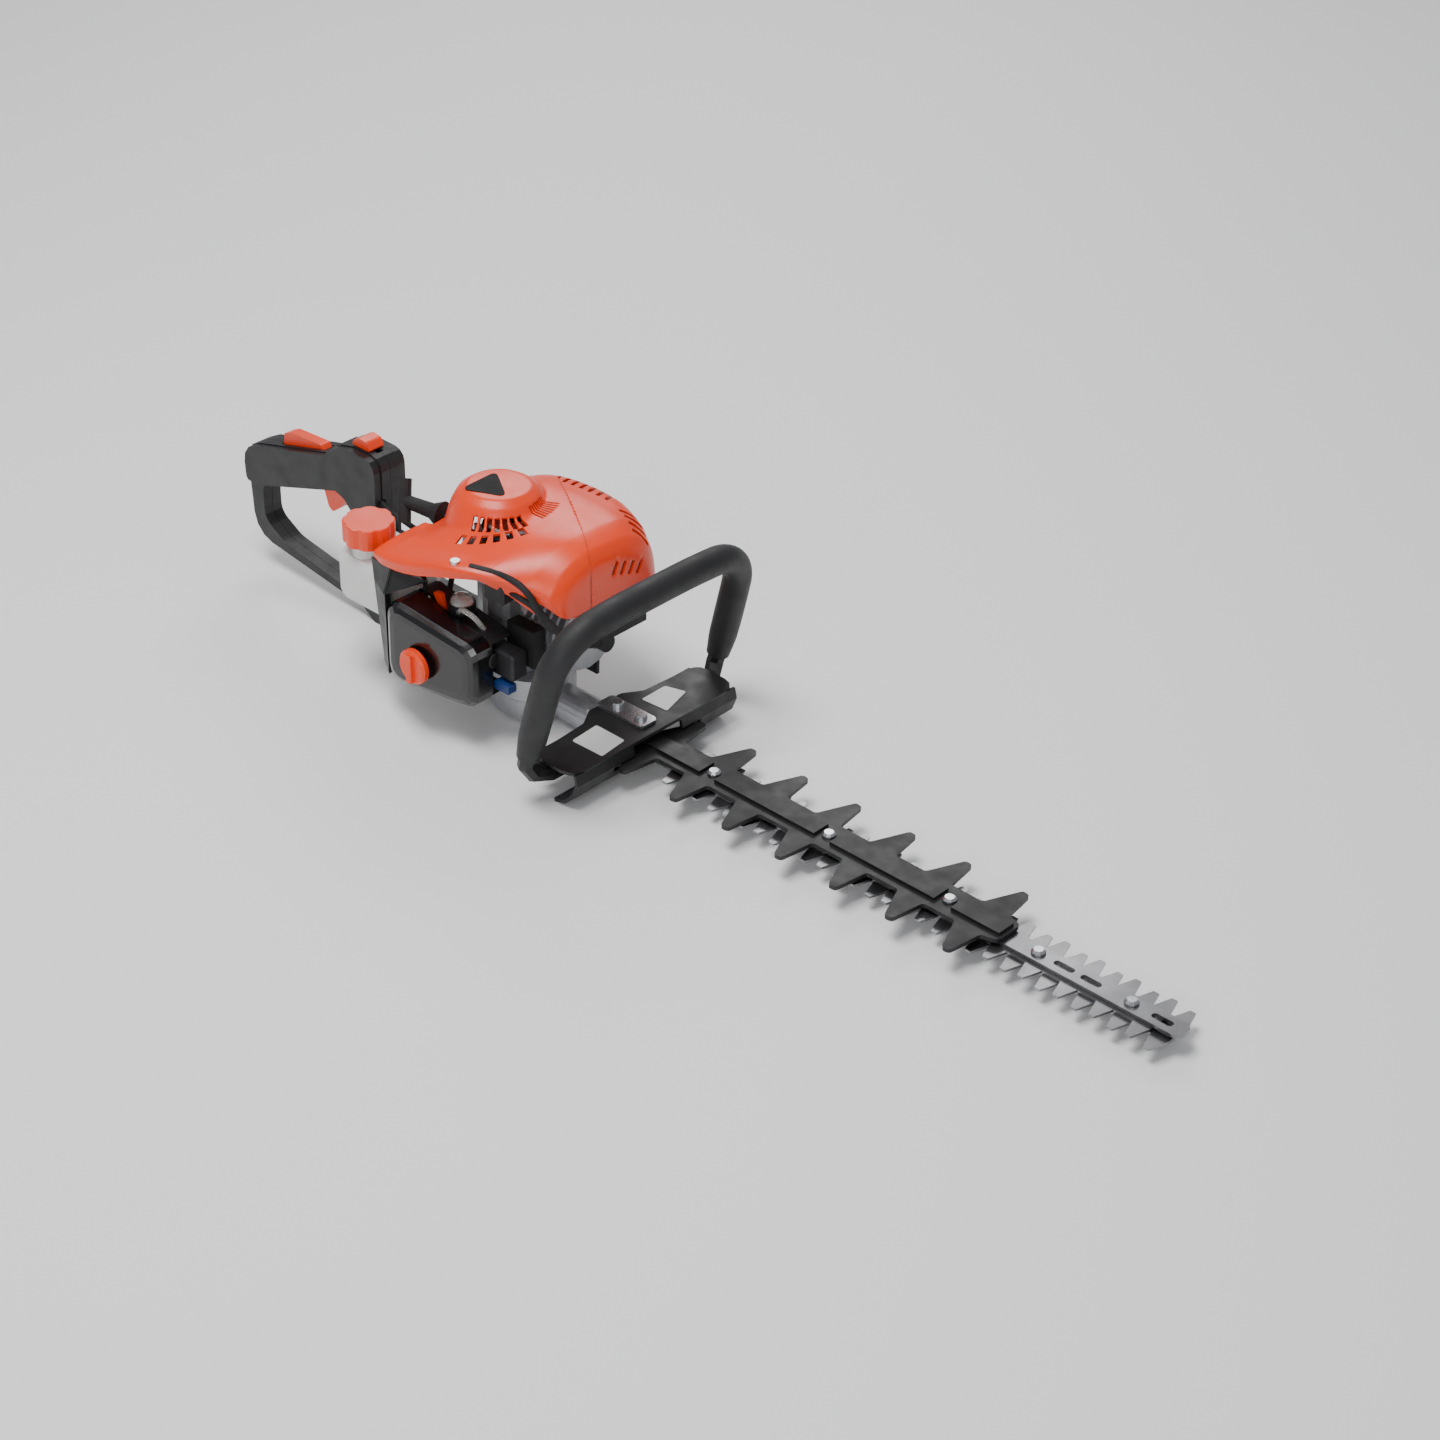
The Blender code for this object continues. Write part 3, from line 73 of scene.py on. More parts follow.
class Shader:
    """A principled material with helpers for its procedural nodes."""

    def __init__(self, name, **inputs):
        self.material = bpy.data.materials.new(name)
        self.material.use_nodes = True
        self.tree = self.material.node_tree
        self.main = self.tree.nodes["Principled BSDF"]
        self.place = self.add("ShaderNodeTexCoord").outputs["Object"]
        self.height = None
        for socket, value in inputs.items():
            self.main.inputs[socket.replace("_", " ")].default_value = value

    def add(self, kind, **settings):
        node = self.tree.nodes.new(kind)
        for key, value in settings.items():
            setattr(node, key, value)
        return node

    def link(self, source, target):
        self.tree.links.new(source, target)

    def noise(self, scale, detail=3.0, stretch=(1, 1, 1), rough=0.55):
        mapping = self.add("ShaderNodeMapping")
        mapping.inputs["Scale"].default_value = stretch
        self.link(self.place, mapping.inputs["Vector"])
        noise = self.add("ShaderNodeTexNoise")
        noise.inputs["Scale"].default_value = scale
        noise.inputs["Detail"].default_value = detail
        noise.inputs["Roughness"].default_value = rough
        self.link(mapping.outputs["Vector"], noise.inputs["Vector"])
        return noise.outputs["Fac"]

    def ramp(self, value, low, high, start=0.3, end=0.7):
        ramp = self.add("ShaderNodeMapRange")
        ramp.inputs["From Min"].default_value = start
        ramp.inputs["From Max"].default_value = end
        ramp.inputs["To Min"].default_value = low
        ramp.inputs["To Max"].default_value = high
        self.link(value, ramp.inputs["Value"])
        return ramp.outputs["Result"]

    def tint(self, value, dark, light):
        mix = self.add("ShaderNodeMix", data_type="RGBA")
        mix.inputs["A"].default_value = (*dark, 1)
        mix.inputs["B"].default_value = (*light, 1)
        self.link(value, mix.inputs["Factor"])
        self.link(mix.outputs["Result"], self.main.inputs["Base Color"])

    def roughen(self, value, low, high):
        self.link(self.ramp(value, low, high), self.main.inputs["Roughness"])

    def bump(self, value, distance, strength=1.0):
        bump = self.add("ShaderNodeBump")
        bump.inputs["Distance"].default_value = distance
        bump.inputs["Strength"].default_value = strength
        self.link(value, bump.inputs["Height"])
        if self.height is not None:
            self.link(self.height, bump.inputs["Normal"])
        self.height = bump.outputs["Normal"]
        self.link(self.height, self.main.inputs["Normal"])


def plastic(name, dark, light, rough, grain, depth, **inputs):
    shader = Shader(name, **inputs)
    broad = shader.noise(9.0, 4.0)
    fine = shader.noise(grain, 2.0)
    shader.tint(shader.ramp(broad, 0.0, 1.0), dark, light)
    shader.roughen(shader.noise(60.0, 3.0), *rough)
    shader.bump(fine, depth)
    return shader.material


def steel(name, dark, light, rough, stretch, scale=900.0):
    shader = Shader(name, Metallic=1.0, IOR=2.5)
    lines = shader.noise(scale, 3.0, stretch)
    stain = shader.noise(22.0, 5.0)
    shader.tint(shader.ramp(stain, 0.0, 1.0), dark, light)
    shader.roughen(lines, *rough)
    shader.bump(lines, 0.00003, 0.5)
    return shader.material


def cast(name, dark, light, rough):
    shader = Shader(name, Metallic=0.85)
    shader.tint(shader.ramp(shader.noise(35.0, 5.0), 0.0, 1.0), dark, light)
    shader.roughen(shader.noise(240.0, 3.0), *rough)
    shader.bump(shader.noise(1100.0, 3.0), 0.00012, 0.7)
    return shader.material


def foam():
    shader = Shader("foam", Sheen_Weight=0.3)
    cells = shader.add("ShaderNodeTexVoronoi")
    cells.inputs["Scale"].default_value = 700.0
    shader.link(shader.place, cells.inputs["Vector"])
    shader.tint(cells.outputs["Distance"], (0.02, 0.02, 0.02), (0.12, 0.11, 0.10))
    shader.main.inputs["Roughness"].default_value = 0.95
    shader.bump(cells.outputs["Distance"], 0.0006)
    return shader.material


def rope():
    shader = Shader("rope_black")
    wave = shader.add("ShaderNodeTexWave", wave_type="BANDS", bands_direction="DIAGONAL")
    wave.inputs["Scale"].default_value = 260.0
    wave.inputs["Distortion"].default_value = 1.0
    shader.link(shader.place, wave.inputs["Vector"])
    shader.tint(wave.outputs["Fac"], (0.006, 0.006, 0.007), (0.04, 0.04, 0.045))
    shader.main.inputs["Roughness"].default_value = 0.8
    shader.bump(wave.outputs["Fac"], 0.0004)
    return shader.material


ORANGE = plastic("orange_plastic", (0.83, 0.038, 0.000), (0.95, 0.055, 0.001),
                 (0.30, 0.42), 1500.0, 0.00003, Coat_Weight=0.12, Coat_Roughness=0.25)
BLACK = plastic("black_plastic", (0.006, 0.006, 0.0065), (0.012, 0.012, 0.013),
                (0.40, 0.56), 1700.0, 0.00007)
GLOSS = plastic("gloss_black", (0.003, 0.003, 0.0035), (0.006, 0.006, 0.007),
                (0.14, 0.26), 1200.0, 0.00002, Coat_Weight=0.4, Coat_Roughness=0.1)
RUBBER = plastic("rubber_black", (0.007, 0.007, 0.008), (0.014, 0.014, 0.015),
                 (0.62, 0.82), 1300.0, 0.00012)
TANK = plastic("tank_white", (0.74, 0.75, 0.73), (0.86, 0.87, 0.85), (0.30, 0.42), 900.0, 0.00004,
               Subsurface_Weight=0.35, Subsurface_Scale=0.004, Transmission_Weight=0.12)
CLEAR = plastic("clear_bulb", (0.88, 0.87, 0.82), (0.95, 0.94, 0.90), (0.06, 0.14), 700.0, 0.00002,
                Transmission_Weight=0.75, IOR=1.46)
GRIP = plastic("grip_rubber", (0.010, 0.010, 0.011), (0.020, 0.020, 0.021),
               (0.50, 0.66), 1500.0, 0.00010)
BLUE = plastic("blue_plastic", (0.008, 0.03, 0.13), (0.012, 0.045, 0.18), (0.30, 0.45), 1200.0, 0.00004)
BADGE = plastic("badge_dark", (0.012, 0.011, 0.012), (0.018, 0.017, 0.018), (0.6, 0.75), 1200.0, 0.00002,
                Specular_IOR_Level=0.2)
LABEL = plastic("label_grey", (0.58, 0.58, 0.57), (0.68, 0.68, 0.67), (0.35, 0.50), 1200.0, 0.00002)
BLADE = steel("blade_steel", (0.20, 0.20, 0.205), (0.36, 0.36, 0.37), (0.24, 0.40), (1, 14, 1))
BOLT = steel("bolt_steel", (0.45, 0.46, 0.48), (0.66, 0.67, 0.70), (0.20, 0.34), (1, 1, 1), 1600.0)
DARK = steel("dark_steel", (0.05, 0.05, 0.055), (0.11, 0.11, 0.12), (0.34, 0.5), (1, 1, 1), 700.0)
MUFFLER = steel("muffler_steel", (0.26, 0.23, 0.20), (0.42, 0.40, 0.38), (0.34, 0.5), (1, 1, 8), 500.0)
ALUMINIUM = cast("cast_aluminium", (0.42, 0.43, 0.45), (0.56, 0.57, 0.59), (0.42, 0.58))
DARK_CAST = cast("dark_casting", (0.03, 0.03, 0.033), (0.06, 0.06, 0.065), (0.45, 0.6))
FOAM = foam()
ROPE = rope()

SLOT_LOOKS = {
    "orange_plastic": ORANGE, "black_plastic": BLACK, "gloss_black": GLOSS,
    "rubber_black": RUBBER, "tank_white": TANK, "clear_bulb": CLEAR, "blade_steel": BLADE,
    "bolt_steel": BOLT, "dark_steel": DARK, "muffler_steel": MUFFLER,
    "cast_aluminium": ALUMINIUM, "foam": FOAM, "rope_black": ROPE,
}
OWN_LOOKS = {"carburetor": DARK_CAST}
CLOSE_FITS = ("gear_case_cover", "gear_case", "upper_blade", "lower_blade")


def dress(thing, look):
    thing.data.materials.clear()
    thing.data.materials.append(look)


def soften(thing, width=SOFT_EDGE, segments=2):
    """A small round on each crease."""
    bevel = thing.modifiers.new("soft_edges", "BEVEL")
    bevel.width = width
    bevel.segments = segments
    bevel.limit_method = "ANGLE"
    bevel.angle_limit = SHARP_ANGLE


def smooth(thing, angle=SHARP_ANGLE):
    thing.data.shade_smooth()
    thing.data.set_sharp_from_angle(angle=angle)


def dress_nodes():
    slots = {entry["node"]: entry["material_slot"] for entry in frame["record"]["subparts"]}
    for name, thing in NODES.items():
        dress(thing, OWN_LOOKS.get(name, SLOT_LOOKS[slots[name]]))
        smooth(thing)
        if name not in CLOSE_FITS:
            soften(thing)


dress_nodes()


# ---------------------------------------------------------------- shapes

def mesh_of(bm, name):
    mesh = bpy.data.meshes.new(name)
    bm.to_mesh(mesh)
    bm.free()
    return mesh


def placed(name, data):
    thing = bpy.data.objects.new(name, data)
    bpy.context.scene.collection.objects.link(thing)
    return thing


def new_piece(bm, name, look, body="machine"):
    bmesh.ops.recalc_face_normals(bm, faces=bm.faces)
    thing = placed(name, mesh_of(bm, name))
    dress(thing, look)
    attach(thing, body)
    return thing


def curve_point(a, b, c, d, t):
    """Catmull-Rom between b and c."""
    return 0.5 * (2 * b + (c - a) * t + (2 * a - 5 * b + 4 * c - d) * t * t
                  + (3 * b - a - 3 * c + d) * t ** 3)


def along(points, place):
    """A smooth point on a line of vectors, place running from 0 to 1."""
    spot = min(max(place, 0.0), 1.0) * (len(points) - 1)
    i = min(int(spot), len(points) - 2)
    before = points[i - 1] if i else 2 * points[0] - points[1]
    after = points[i + 2] if i + 2 < len(points) else 2 * points[-1] - points[-2]
    return curve_point(before, points[i], points[i + 1], after, spot - i)


def tube(name, route, radii, samples, sides, look, body="machine"):
    """A smooth closed tube along a route, its radii spread evenly over the length."""
    route = [mm(*p) for p in route]
    bm = bmesh.new()
    rings = []
    normal = Vector((0, 0, 1))
    for k in range(samples + 1):
        place = k / samples
        here = along(route, place)
        ahead = along(route, min(place + CURVE_STEP, 1.0)) - along(route, max(place - CURVE_STEP, 0.0))
        ahead.normalize()
        side = ahead.cross(normal)
        side = side.normalized() if side.length > LEAST_SIDE else ahead.orthogonal().normalized()
        normal = side.cross(ahead)
        spot = place * (len(radii) - 1)
        i = min(int(spot), len(radii) - 2)
        radius = (radii[i] + (radii[i + 1] - radii[i]) * (spot - i)) * MM
        rings.append([bm.verts.new(here + radius * (cos(2 * pi * j / sides) * side
                                                    + sin(2 * pi * j / sides) * normal))
                      for j in range(sides)])
    for one, two in zip(rings, rings[1:]):
        for j in range(sides):
            bm.faces.new((one[j], one[(j + 1) % sides], two[(j + 1) % sides], two[j]))
    bm.faces.new(rings[0])
    bm.faces.new(rings[-1])
    thing = new_piece(bm, name, look, body)
    smooth(thing)
    return thing


def slab(top_points, low_points):
    """A solid between two equal outlines."""
    bm = bmesh.new()
    top = [bm.verts.new(point) for point in top_points]
    low = [bm.verts.new(point) for point in low_points]
    bm.faces.new(top)
    bm.faces.new(low)
    for i in range(len(top)):
        j = (i + 1) % len(top)
        bm.faces.new((top[i], top[j], low[j], low[i]))
    return bm


def prism(name, outline, depth, look, body="machine", direction=(0, 0, -1), edge=0.4):
    """A thin plate under a closed outline of 3-D points, with rounded edges."""
    points = [mm(*p) for p in outline]
    drop = Vector(direction).normalized() * depth * MM
    bm = slab(points, [point + drop for point in points])
    thing = new_piece(bm, name, look, body)
    smooth(thing)
    soften(thing, edge * MM, 2)
    return thing


def rounded(corners, radius, steps=5):
    """Corner points of a flat outline turned into small arcs."""
    points = [Vector(c) for c in corners]
    result = []
    for i, here in enumerate(points):
        before = (points[i - 1] - here).normalized() * radius
        after = (points[(i + 1) % len(points)] - here).normalized() * radius
        for k in range(steps + 1):
            t = k / steps
            result.append(tuple((here + before) * (1 - t) ** 2 + here * 2 * t * (1 - t)
                                + (here + after) * t * t))
    return result


# ---------------------------------------------------------------- covers

COVER_STATIONS = (
    (-251, ((-82, 131), (-80, 135), (-60, 138), (-30, 139), (0, 140), (28, 141), (48, 136), (52, 122))),
    (-232, ((-87, 131), (-85, 140), (-60, 144), (-30, 145), (0, 149), (35, 156), (66, 148), (72, 114))),
    (-200, ((-88, 136), (-86, 147), (-62, 152), (-30, 164), (0, 170), (45, 170), (78, 156), (84, 108))),
    (-165, ((-84, 146), (-82, 156), (-62, 160), (-30, 169), (5, 174), (50, 173), (82, 158), (87, 100))),
    (-130, ((-68, 149), (-68, 155), (-50, 164), (-22, 172), (8, 174), (52, 172), (82, 156), (88, 96))),
    (-104, ((-52, 140), (-52, 150), (-38, 163), (-15, 172), (10, 173), (50, 169), (76, 150), (84, 96))),
    (-88, ((-44, 132), (-44, 143), (-32, 157), (-12, 166), (10, 167), (45, 162), (68, 143), (76, 96))),
    (-80, ((-38, 124), (-38, 135), (-28, 148), (-10, 156), (10, 157), (40, 152), (60, 135), (68, 96))),
)
DOME_AT = (-190.0, 0.0)
DOME_HEIGHTS = ((0, 186.6), (14, 186.6), (26, 186), (33, 181), (38, 172), (42, 160), (46, 140), (60, 60))
COVER_ROWS = 130
COVER_COLUMNS = 110
COVER_WALL = 2.2
END_ROUND = 5.0
SEAM_GAP = 0.25
SEAM_AT = (-90.7, 0.0)
SEAM_TO = (-184.0, 60.0)
BLEND = 3.0


def dome_height(radius):
    for (r0, z0), (r1, z1) in zip(DOME_HEIGHTS, DOME_HEIGHTS[1:]):
        if radius <= r1:
            t = (radius - r0) / (r1 - r0)
            return z0 + (z1 - z0) * t
    return DOME_HEIGHTS[-1][1]


def soft_max(a, b):
    gap = max(BLEND - abs(a - b), 0.0) / BLEND
    return max(a, b) + gap * gap * BLEND / 4


def cover_section(x):
    """The cover's outline across the machine at x, as (y, z) vectors."""
    xs = [station[0] for station in COVER_STATIONS]
    i = max(k for k in range(len(xs) - 1) if x >= xs[k])
    t = (x - xs[i]) / (xs[i + 1] - xs[i])
    rows = [[Vector(p) for p in station[1]] for station in COVER_STATIONS]
    result = []
    for k in range(len(rows[0])):
        column = [row[k] for row in rows]
        before = column[i - 1] if i else 2 * column[0] - column[1]
        after = column[i + 2] if i + 2 < len(column) else 2 * column[-1] - column[-2]
        result.append(curve_point(before, column[i], column[i + 1], after, t))
    return result


def cover_rows():
    first, last = COVER_STATIONS[0][0], COVER_STATIONS[-1][0]
    rows = []
    for k in range(COVER_ROWS + 1):
        x = first + (last - first) * k / COVER_ROWS
        depth = min(x - first, last - x)
        shrink = 0.0
        if depth < END_ROUND:
            shrink = END_ROUND - (END_ROUND ** 2 - (END_ROUND - depth) ** 2) ** 0.5
        outline = cover_section(x)
        middle = (outline[0] + outline[-1]) / 2
        row = []
        for j in range(COVER_COLUMNS + 1):
            point = along(outline, j / COVER_COLUMNS)
            radius = ((x - DOME_AT[0]) ** 2 + (point.x - DOME_AT[1]) ** 2) ** 0.5
            height = soft_max(point.y, dome_height(radius))
            inward = middle - Vector((point.x, height))
            reach = max(inward.length, 1e-6)
            spot = Vector((point.x, height)) + inward / reach * min(shrink, reach)
            row.append((x, spot.x, spot.y))
        rows.append(row)
    return rows


def end_rows(row, steps=6):
    """Rows that close an end of the cover down to the line between its two low edges."""
    low, high = Vector(row[0]), Vector(row[-1])
    result = []
    for k in range(1, steps + 1):
        pull = k / steps
        line = []
        for j, point in enumerate(row):
            here = Vector(point)
            foot = low.lerp(high, j / (len(row) - 1))
            line.append(tuple(here.lerp(foot, pull)))
        result.append(line)
    return result


def cover_half(name, side, stand_for):
    rows = cover_rows()
    rows = end_rows(rows[0])[::-1] + rows + end_rows(rows[-1])
    bm = bmesh.new()
    grid = [[bm.verts.new(mm(*p)) for p in row] for row in rows]
    for one, two in zip(grid, grid[1:]):
        for j in range(COVER_COLUMNS):
            bm.faces.new((one[j], one[j + 1], two[j + 1], two[j]))
    bmesh.ops.remove_doubles(bm, verts=bm.verts, dist=WELD)
    seam = (Vector(SEAM_TO) - Vector(SEAM_AT)).normalized()
    normal = Vector((seam.y, -seam.x, 0)) * side
    at = mm(*SEAM_AT, 100) - normal * SEAM_GAP * MM
    bmesh.ops.bisect_plane(bm, geom=bm.verts[:] + bm.edges[:] + bm.faces[:], plane_co=at,
                           plane_no=-normal, clear_outer=True)
    bmesh.ops.recalc_face_normals(bm, faces=bm.faces)
    top = max(bm.faces, key=lambda face: face.calc_center_median().z)
    if top.normal.z < 0:
        bmesh.ops.reverse_faces(bm, faces=bm.faces)
    thing = placed(name, mesh_of(bm, name))
    dress(thing, ORANGE)
    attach(thing, "machine")
    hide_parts(stand_for)
    wall = thing.modifiers.new("wall", "SOLIDIFY")
    wall.thickness = COVER_WALL * MM
    wall.offset = -1
    smooth(thing, SHELL_SHARP_ANGLE)
    return thing


def cutter(name, corners, direction, depth):
    """The mesh of a slot cutter: an outline pushed both ways along a direction."""
    push = Vector(direction).normalized() * depth * MM
    bm = slab([mm(*p) + push for p in corners], [mm(*p) - push for p in corners])
    bmesh.ops.recalc_face_normals(bm, faces=bm.faces)
    return mesh_of(bm, name)


def slot_at(centre, run, width, direction, depth=7.0):
    """One slot: centred on a point, its run vector long, width wide, cut along direction."""
    middle, run = Vector(centre), Vector(run) / 2
    across = run.cross(Vector(direction)).normalized() * width / 2
    corners = [middle - run - across, middle + run - across, middle + run + across,
               middle - run + across]
    return cutter("slot", corners, direction, depth)


def cut_slots(thing, name, meshes):
    joined = bmesh.new()
    for mesh in meshes:
        joined.from_mesh(mesh)
        bpy.data.meshes.remove(mesh)
    holder = placed(name, mesh_of(joined, name))
    modifier = thing.modifiers.new("slots", "BOOLEAN")
    modifier.operation = "DIFFERENCE"
    modifier.solver = "EXACT"
    modifier.object = holder
    bpy.context.view_layer.update()
    graph = bpy.context.evaluated_depsgraph_get()
    shaped = bpy.data.meshes.new_from_object(thing.evaluated_get(graph))
    thing.modifiers.clear()
    thing.data = shaped
    bpy.data.objects.remove(holder)


def dome_slots(radius, height, start, end, count, width, run, lean):
    """Slots round the dome's foot, from one angle to another in degrees."""
    result = []
    for k in range(count):
        angle = radians(start + (end - start) * k / (count - 1))
        out = Vector((cos(angle), sin(angle), 0))
        spot = Vector((*DOME_AT, height)) + out * radius
        result.append(slot_at(spot, out * run + Vector((0, 0, -run * lean)), width,
                              Vector((out.x * lean, out.y * lean, 1)), 9))
    return result


def covers():
    fan = cover_half("fan_cover_shell", -1, "fan_cover")
    rear = cover_half("muffler_cover_shell", 1, "muffler_cover")
    cuts = dome_slots(40.0, 171, -73, -18, 7, 4.0, 8.5, 0.9)
    cuts += dome_slots(53.0, 166, -78, -24, 6, 5.4, 10.0, 0.15)
    cuts += dome_slots(41.0, 176, 2, 32, 8, 1.4, 13.0, 0.6)
    cuts.append(slot_at((-247, -11.5, 140), (20, 0, 0), 33, (0, 0, 1), 18))
    cut_slots(fan, "fan_cuts", cuts)
    cuts = [slot_at((-196 + 8.5 * k, 64 + 1.1 * k, 166), (-7, 17, 0), 3.2, (0, 0, 1), 12)
            for k in range(8)]
    cuts += [slot_at((-112 + 7.5 * k, 66 - 2.5 * k, 160 - 1.5 * k), (12, 13, -8), 3.6,
                     (0.6, 0.3, 1), 16)
             for k in range(4)]
    cuts += [slot_at((-80, 20 + 9 * k, 146 - 3 * k), (0, 5, 10), 3.8, (1, 0, 0), 12)
             for k in range(4)]
    cut_slots(rear, "rear_cuts", cuts)


covers()


# ---------------------------------------------------------------- added pieces

def grip_pocket():
    """Walls behind and under the starter grip, inside the notch of the cover."""
    prism("pocket_floor", [(-250, -25, 129.5), (-237, -25, 129.5), (-237, 2.5, 129.5),
                           (-250, 2.5, 129.5)], 2.4, ORANGE)
    prism("pocket_back", [(-238.5, -27.5, 129), (-238.5, 4.5, 129), (-237.5, 4.5, 141),
                          (-237.5, -27.5, 139)], 1.8, ORANGE, direction=(1, 0, 0))


BADGE_TOP = 186.9
SCREW_AT = (-160.7, -75)
SCREW_TOP = 160.0
SCREW_R = 4.2
SCREW_SIDES = 24
LABEL_TOP = 35.6
CLIP_Y = -66
BOSS_AT = (-127.6, -66, 78)
BOSS_R = 6
BOSS_SIDES = 28


def trim():
    badge = rounded([(-205, -27, BADGE_TOP), (-170, -10, BADGE_TOP), (-206, 13, BADGE_TOP)], 9, 7)
    prism("dome_badge", badge, 0.8, BADGE, edge=0.3)
    prism("air_guide", [(-150, -71, 154), (-118, -59, 152), (-99, -49, 138), (-93, -45, 122),
                                (-98, -46, 122), (-120, -56, 136), (-150, -68, 146)], 2.0, ORANGE,
                  direction=(-0.5, 0.85, 0))
    turns = [2 * pi * k / SCREW_SIDES for k in range(SCREW_SIDES)]
    ring = [(SCREW_AT[0] + SCREW_R * cos(turn), SCREW_AT[1] + SCREW_R * sin(turn), SCREW_TOP)
            for turn in turns]
    prism("cover_screw", ring, 4.5, BOLT)
    tube("primer_return_line", ((-168, -66, 106), (-160, -69, 112), (-150, -66, 108), (-146, -60, 97)),
         (2.2, 2.2), 24, 14, CLEAR)
    tube("vapour_line", ((-206, -66, 108), (-214, -60, 114), (-226, -52, 112), (-232, -46, 104)),
         (1.9, 1.9), 24, 12, RUBBER)


LOOP_LOW = Vector((-53.5, 27.5))
LOOP_TOP = Vector((-18.5, 158.4))
LOOP_CORNER = 42.0
LOOP_SIDE = 104.5
GRIP_R = 11.8
GRIP_LIP = 2.2
GRIP_SHOULDER = 0.4
GRIP_EVEN_SECTIONS = 22
GRIP_RINGS = 144
GRIP_SIDES = 40
CORNER_STEPS = 6


def loop_spot(y, height):
    spot = LOOP_LOW.lerp(LOOP_TOP, height)
    return (spot.x, y, spot.y)


def front_grip():
    """The rubber sleeve of the front loop, from one side over the top to the other."""
    rise = (LOOP_TOP - LOOP_LOW).length
    half = [loop_spot(LOOP_SIDE + 2.2, 0.135), loop_spot(LOOP_SIDE + 2.0, 0.30),
            loop_spot(LOOP_SIDE + 1.2, 0.50)]
    for k in range(CORNER_STEPS + 1):
        angle = pi / 2 * k / CORNER_STEPS
        half.append(loop_spot(LOOP_SIDE - LOOP_CORNER * (1 - cos(angle)),
                              1 - (1 - sin(angle)) * LOOP_CORNER / rise))
    half.append(loop_spot(30, 1.012))
    route = half + [(x, -y, z) for x, y, z in reversed(half)]
    ends = (GRIP_R - GRIP_LIP, GRIP_R - GRIP_SHOULDER)
    radii = ends + (GRIP_R,) * GRIP_EVEN_SECTIONS + ends[::-1]
    sleeve = tube("front_grip_sleeve", route, radii, GRIP_RINGS, GRIP_SIDES, GRIP)
    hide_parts("front_grip")


def labels():
    """Blank plates where the machine carries its warning and name labels."""
    first = rounded([(-50.5, -58, LABEL_TOP), (-52.5, -29, LABEL_TOP), (-21.5, -29, LABEL_TOP),
                     (-18.5, -57, LABEL_TOP)], 2)
    prism("guard_label_right", first, 0.5, LABEL, edge=0.1)
    second = rounded([(-53.5, 23, LABEL_TOP), (-54.0, 50, LABEL_TOP), (-36, 56, LABEL_TOP),
                      (-27.5, 25, LABEL_TOP)], 2)
    prism("guard_label_left", second, 0.5, LABEL, edge=0.1)
    strip = rounded([(-132, -57.2, 160.0), (-111, -49.6, 157.0), (-109.5, -52.2, 154.0),
                     (-130, -59.8, 157.2)], 1.0, 3)
    prism("arch_label", strip, 0.7, LABEL, direction=(-0.3, 0.6, -0.7), edge=0.1)


def arch_lead():
    """The lead clipped along the arch of the cover."""
    route = ((-149, -70.5, 157), (-137, -65.5, 156.5), (-124, -60, 155), (-111, -55, 150.5),
             (-103, -52.5, 144), (-98.5, -50, 135), (-93, -47, 122), (-86, -42, 112))
    tube("arch_lead", route, (2.9, 2.9), 60, 20, RUBBER)


def housing_front():
    """What shows in the recess at the front of the air cleaner: a blue clip and a round boss."""
    block = rounded([(-130, CLIP_Y, 52), (-113, CLIP_Y, 52), (-113, CLIP_Y, 60),
                     (-130, CLIP_Y, 60)], 2)
    prism("front_clip", block, 9, BLUE, direction=(0, 1, 0), edge=0.6)
    turns = [2 * pi * k / BOSS_SIDES for k in range(BOSS_SIDES)]
    ring = [(BOSS_AT[0], BOSS_AT[1] + BOSS_R * cos(turn), BOSS_AT[2] + BOSS_R * sin(turn))
            for turn in turns]
    prism("front_boss", ring, 3, BLACK, direction=(-1, 0, 0), edge=0.8)


grip_pocket()
trim()
front_grip()
labels()
arch_lead()
housing_front()


# ---------------------------------------------------------------- studio

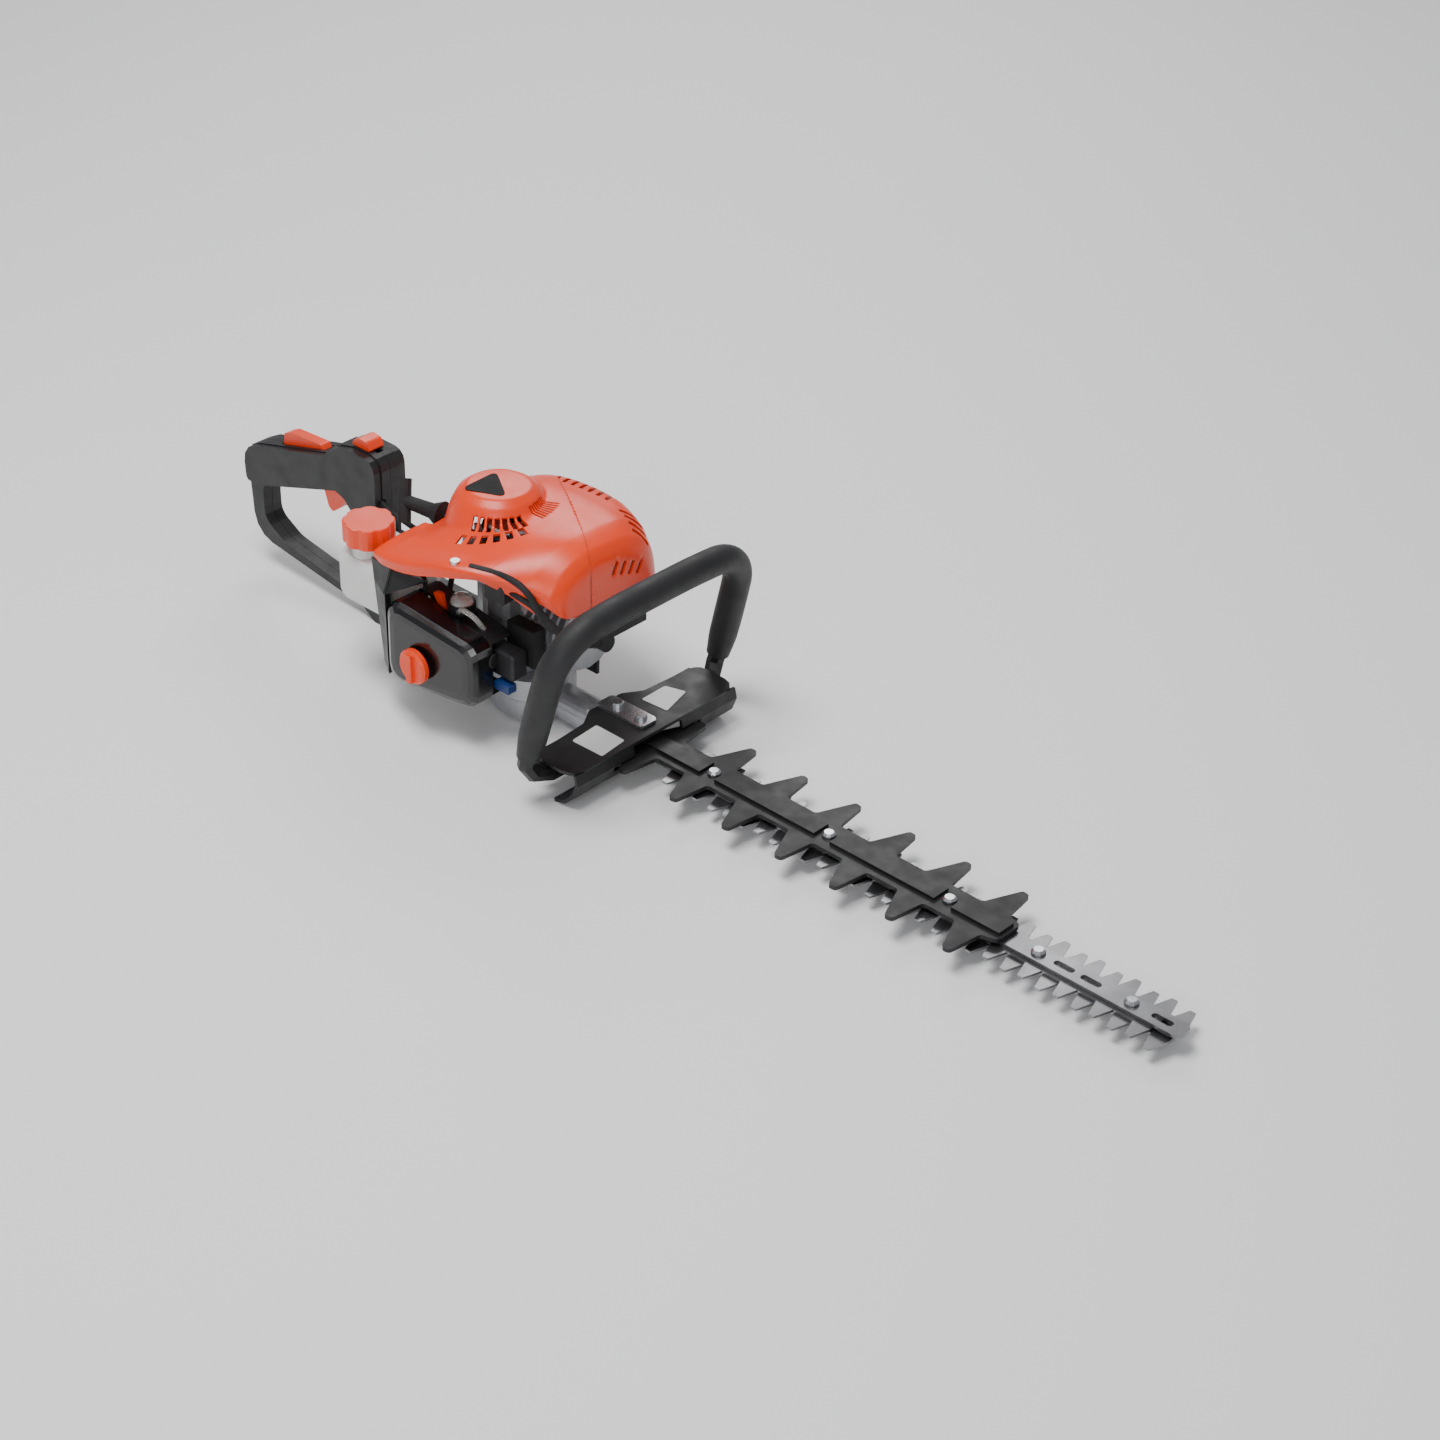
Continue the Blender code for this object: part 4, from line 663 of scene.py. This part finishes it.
FLOOR_SIZE = 9.0
FLOOR_PAINT = (0.93, 0.93, 0.93, 1)
SKY_COLOUR = (0.95, 0.97, 1.0, 1)
SKY_STRENGTH = 0.36


def studio():
    bpy.ops.mesh.primitive_plane_add(size=FLOOR_SIZE, location=(0, 0, 0))
    floor = bpy.context.object
    floor.name = "studio_floor"
    shade = Shader("studio_white", Roughness=0.75)
    shade.main.inputs["Base Color"].default_value = FLOOR_PAINT
    dress(floor, shade.material)


def softbox(name, place, target, size, power):
    light = bpy.data.lights.new(name, "AREA")
    light.shape = "RECTANGLE"
    light.size, light.size_y = size
    light.energy = power
    holder = placed(name, light)
    holder.location = place
    holder.rotation_euler = (Vector(target) - Vector(place)).to_track_quat("-Z", "Y").to_euler()


def lights():
    softbox("key_overhead", (-0.2, -0.5, 2.2), (-0.05, 0, 0.05), (1.3, 0.8), 44)
    softbox("front_fill", (1.3, -2.2, 1.3), (0, 0, 0.08), (1.2, 0.8), 16)
    softbox("rear_edge", (-1.4, 1.6, 1.5), (-0.1, 0, 0.1), (1.2, 0.8), 16)
    world = bpy.data.worlds.new("studio_air")
    world.use_nodes = True
    sky = world.node_tree.nodes["Background"]
    sky.inputs["Color"].default_value = SKY_COLOUR
    sky.inputs["Strength"].default_value = SKY_STRENGTH
    bpy.context.scene.world = world


def camera():
    a, e = CAMERA_AZIMUTH, CAMERA_ELEVATION
    right = Vector((cos(a), sin(a), 0))
    back = Vector((sin(a) * cos(e), -cos(a) * cos(e), sin(e)))
    up = back.cross(right)
    tilted_right = cos(CAMERA_ROLL) * right + sin(CAMERA_ROLL) * up
    tilted_up = -sin(CAMERA_ROLL) * right + cos(CAMERA_ROLL) * up
    data = bpy.data.cameras.new("photo_camera")
    data.lens = CAMERA_LENS
    data.sensor_width = SENSOR
    data.dof.use_dof = False
    holder = placed("photo_camera", data)
    turn = Matrix((tilted_right, tilted_up, back)).transposed().to_4x4()
    holder.matrix_world = Matrix.Translation(CAMERA_AT) @ turn
    bpy.context.scene.camera = holder


studio()
lights()
camera()
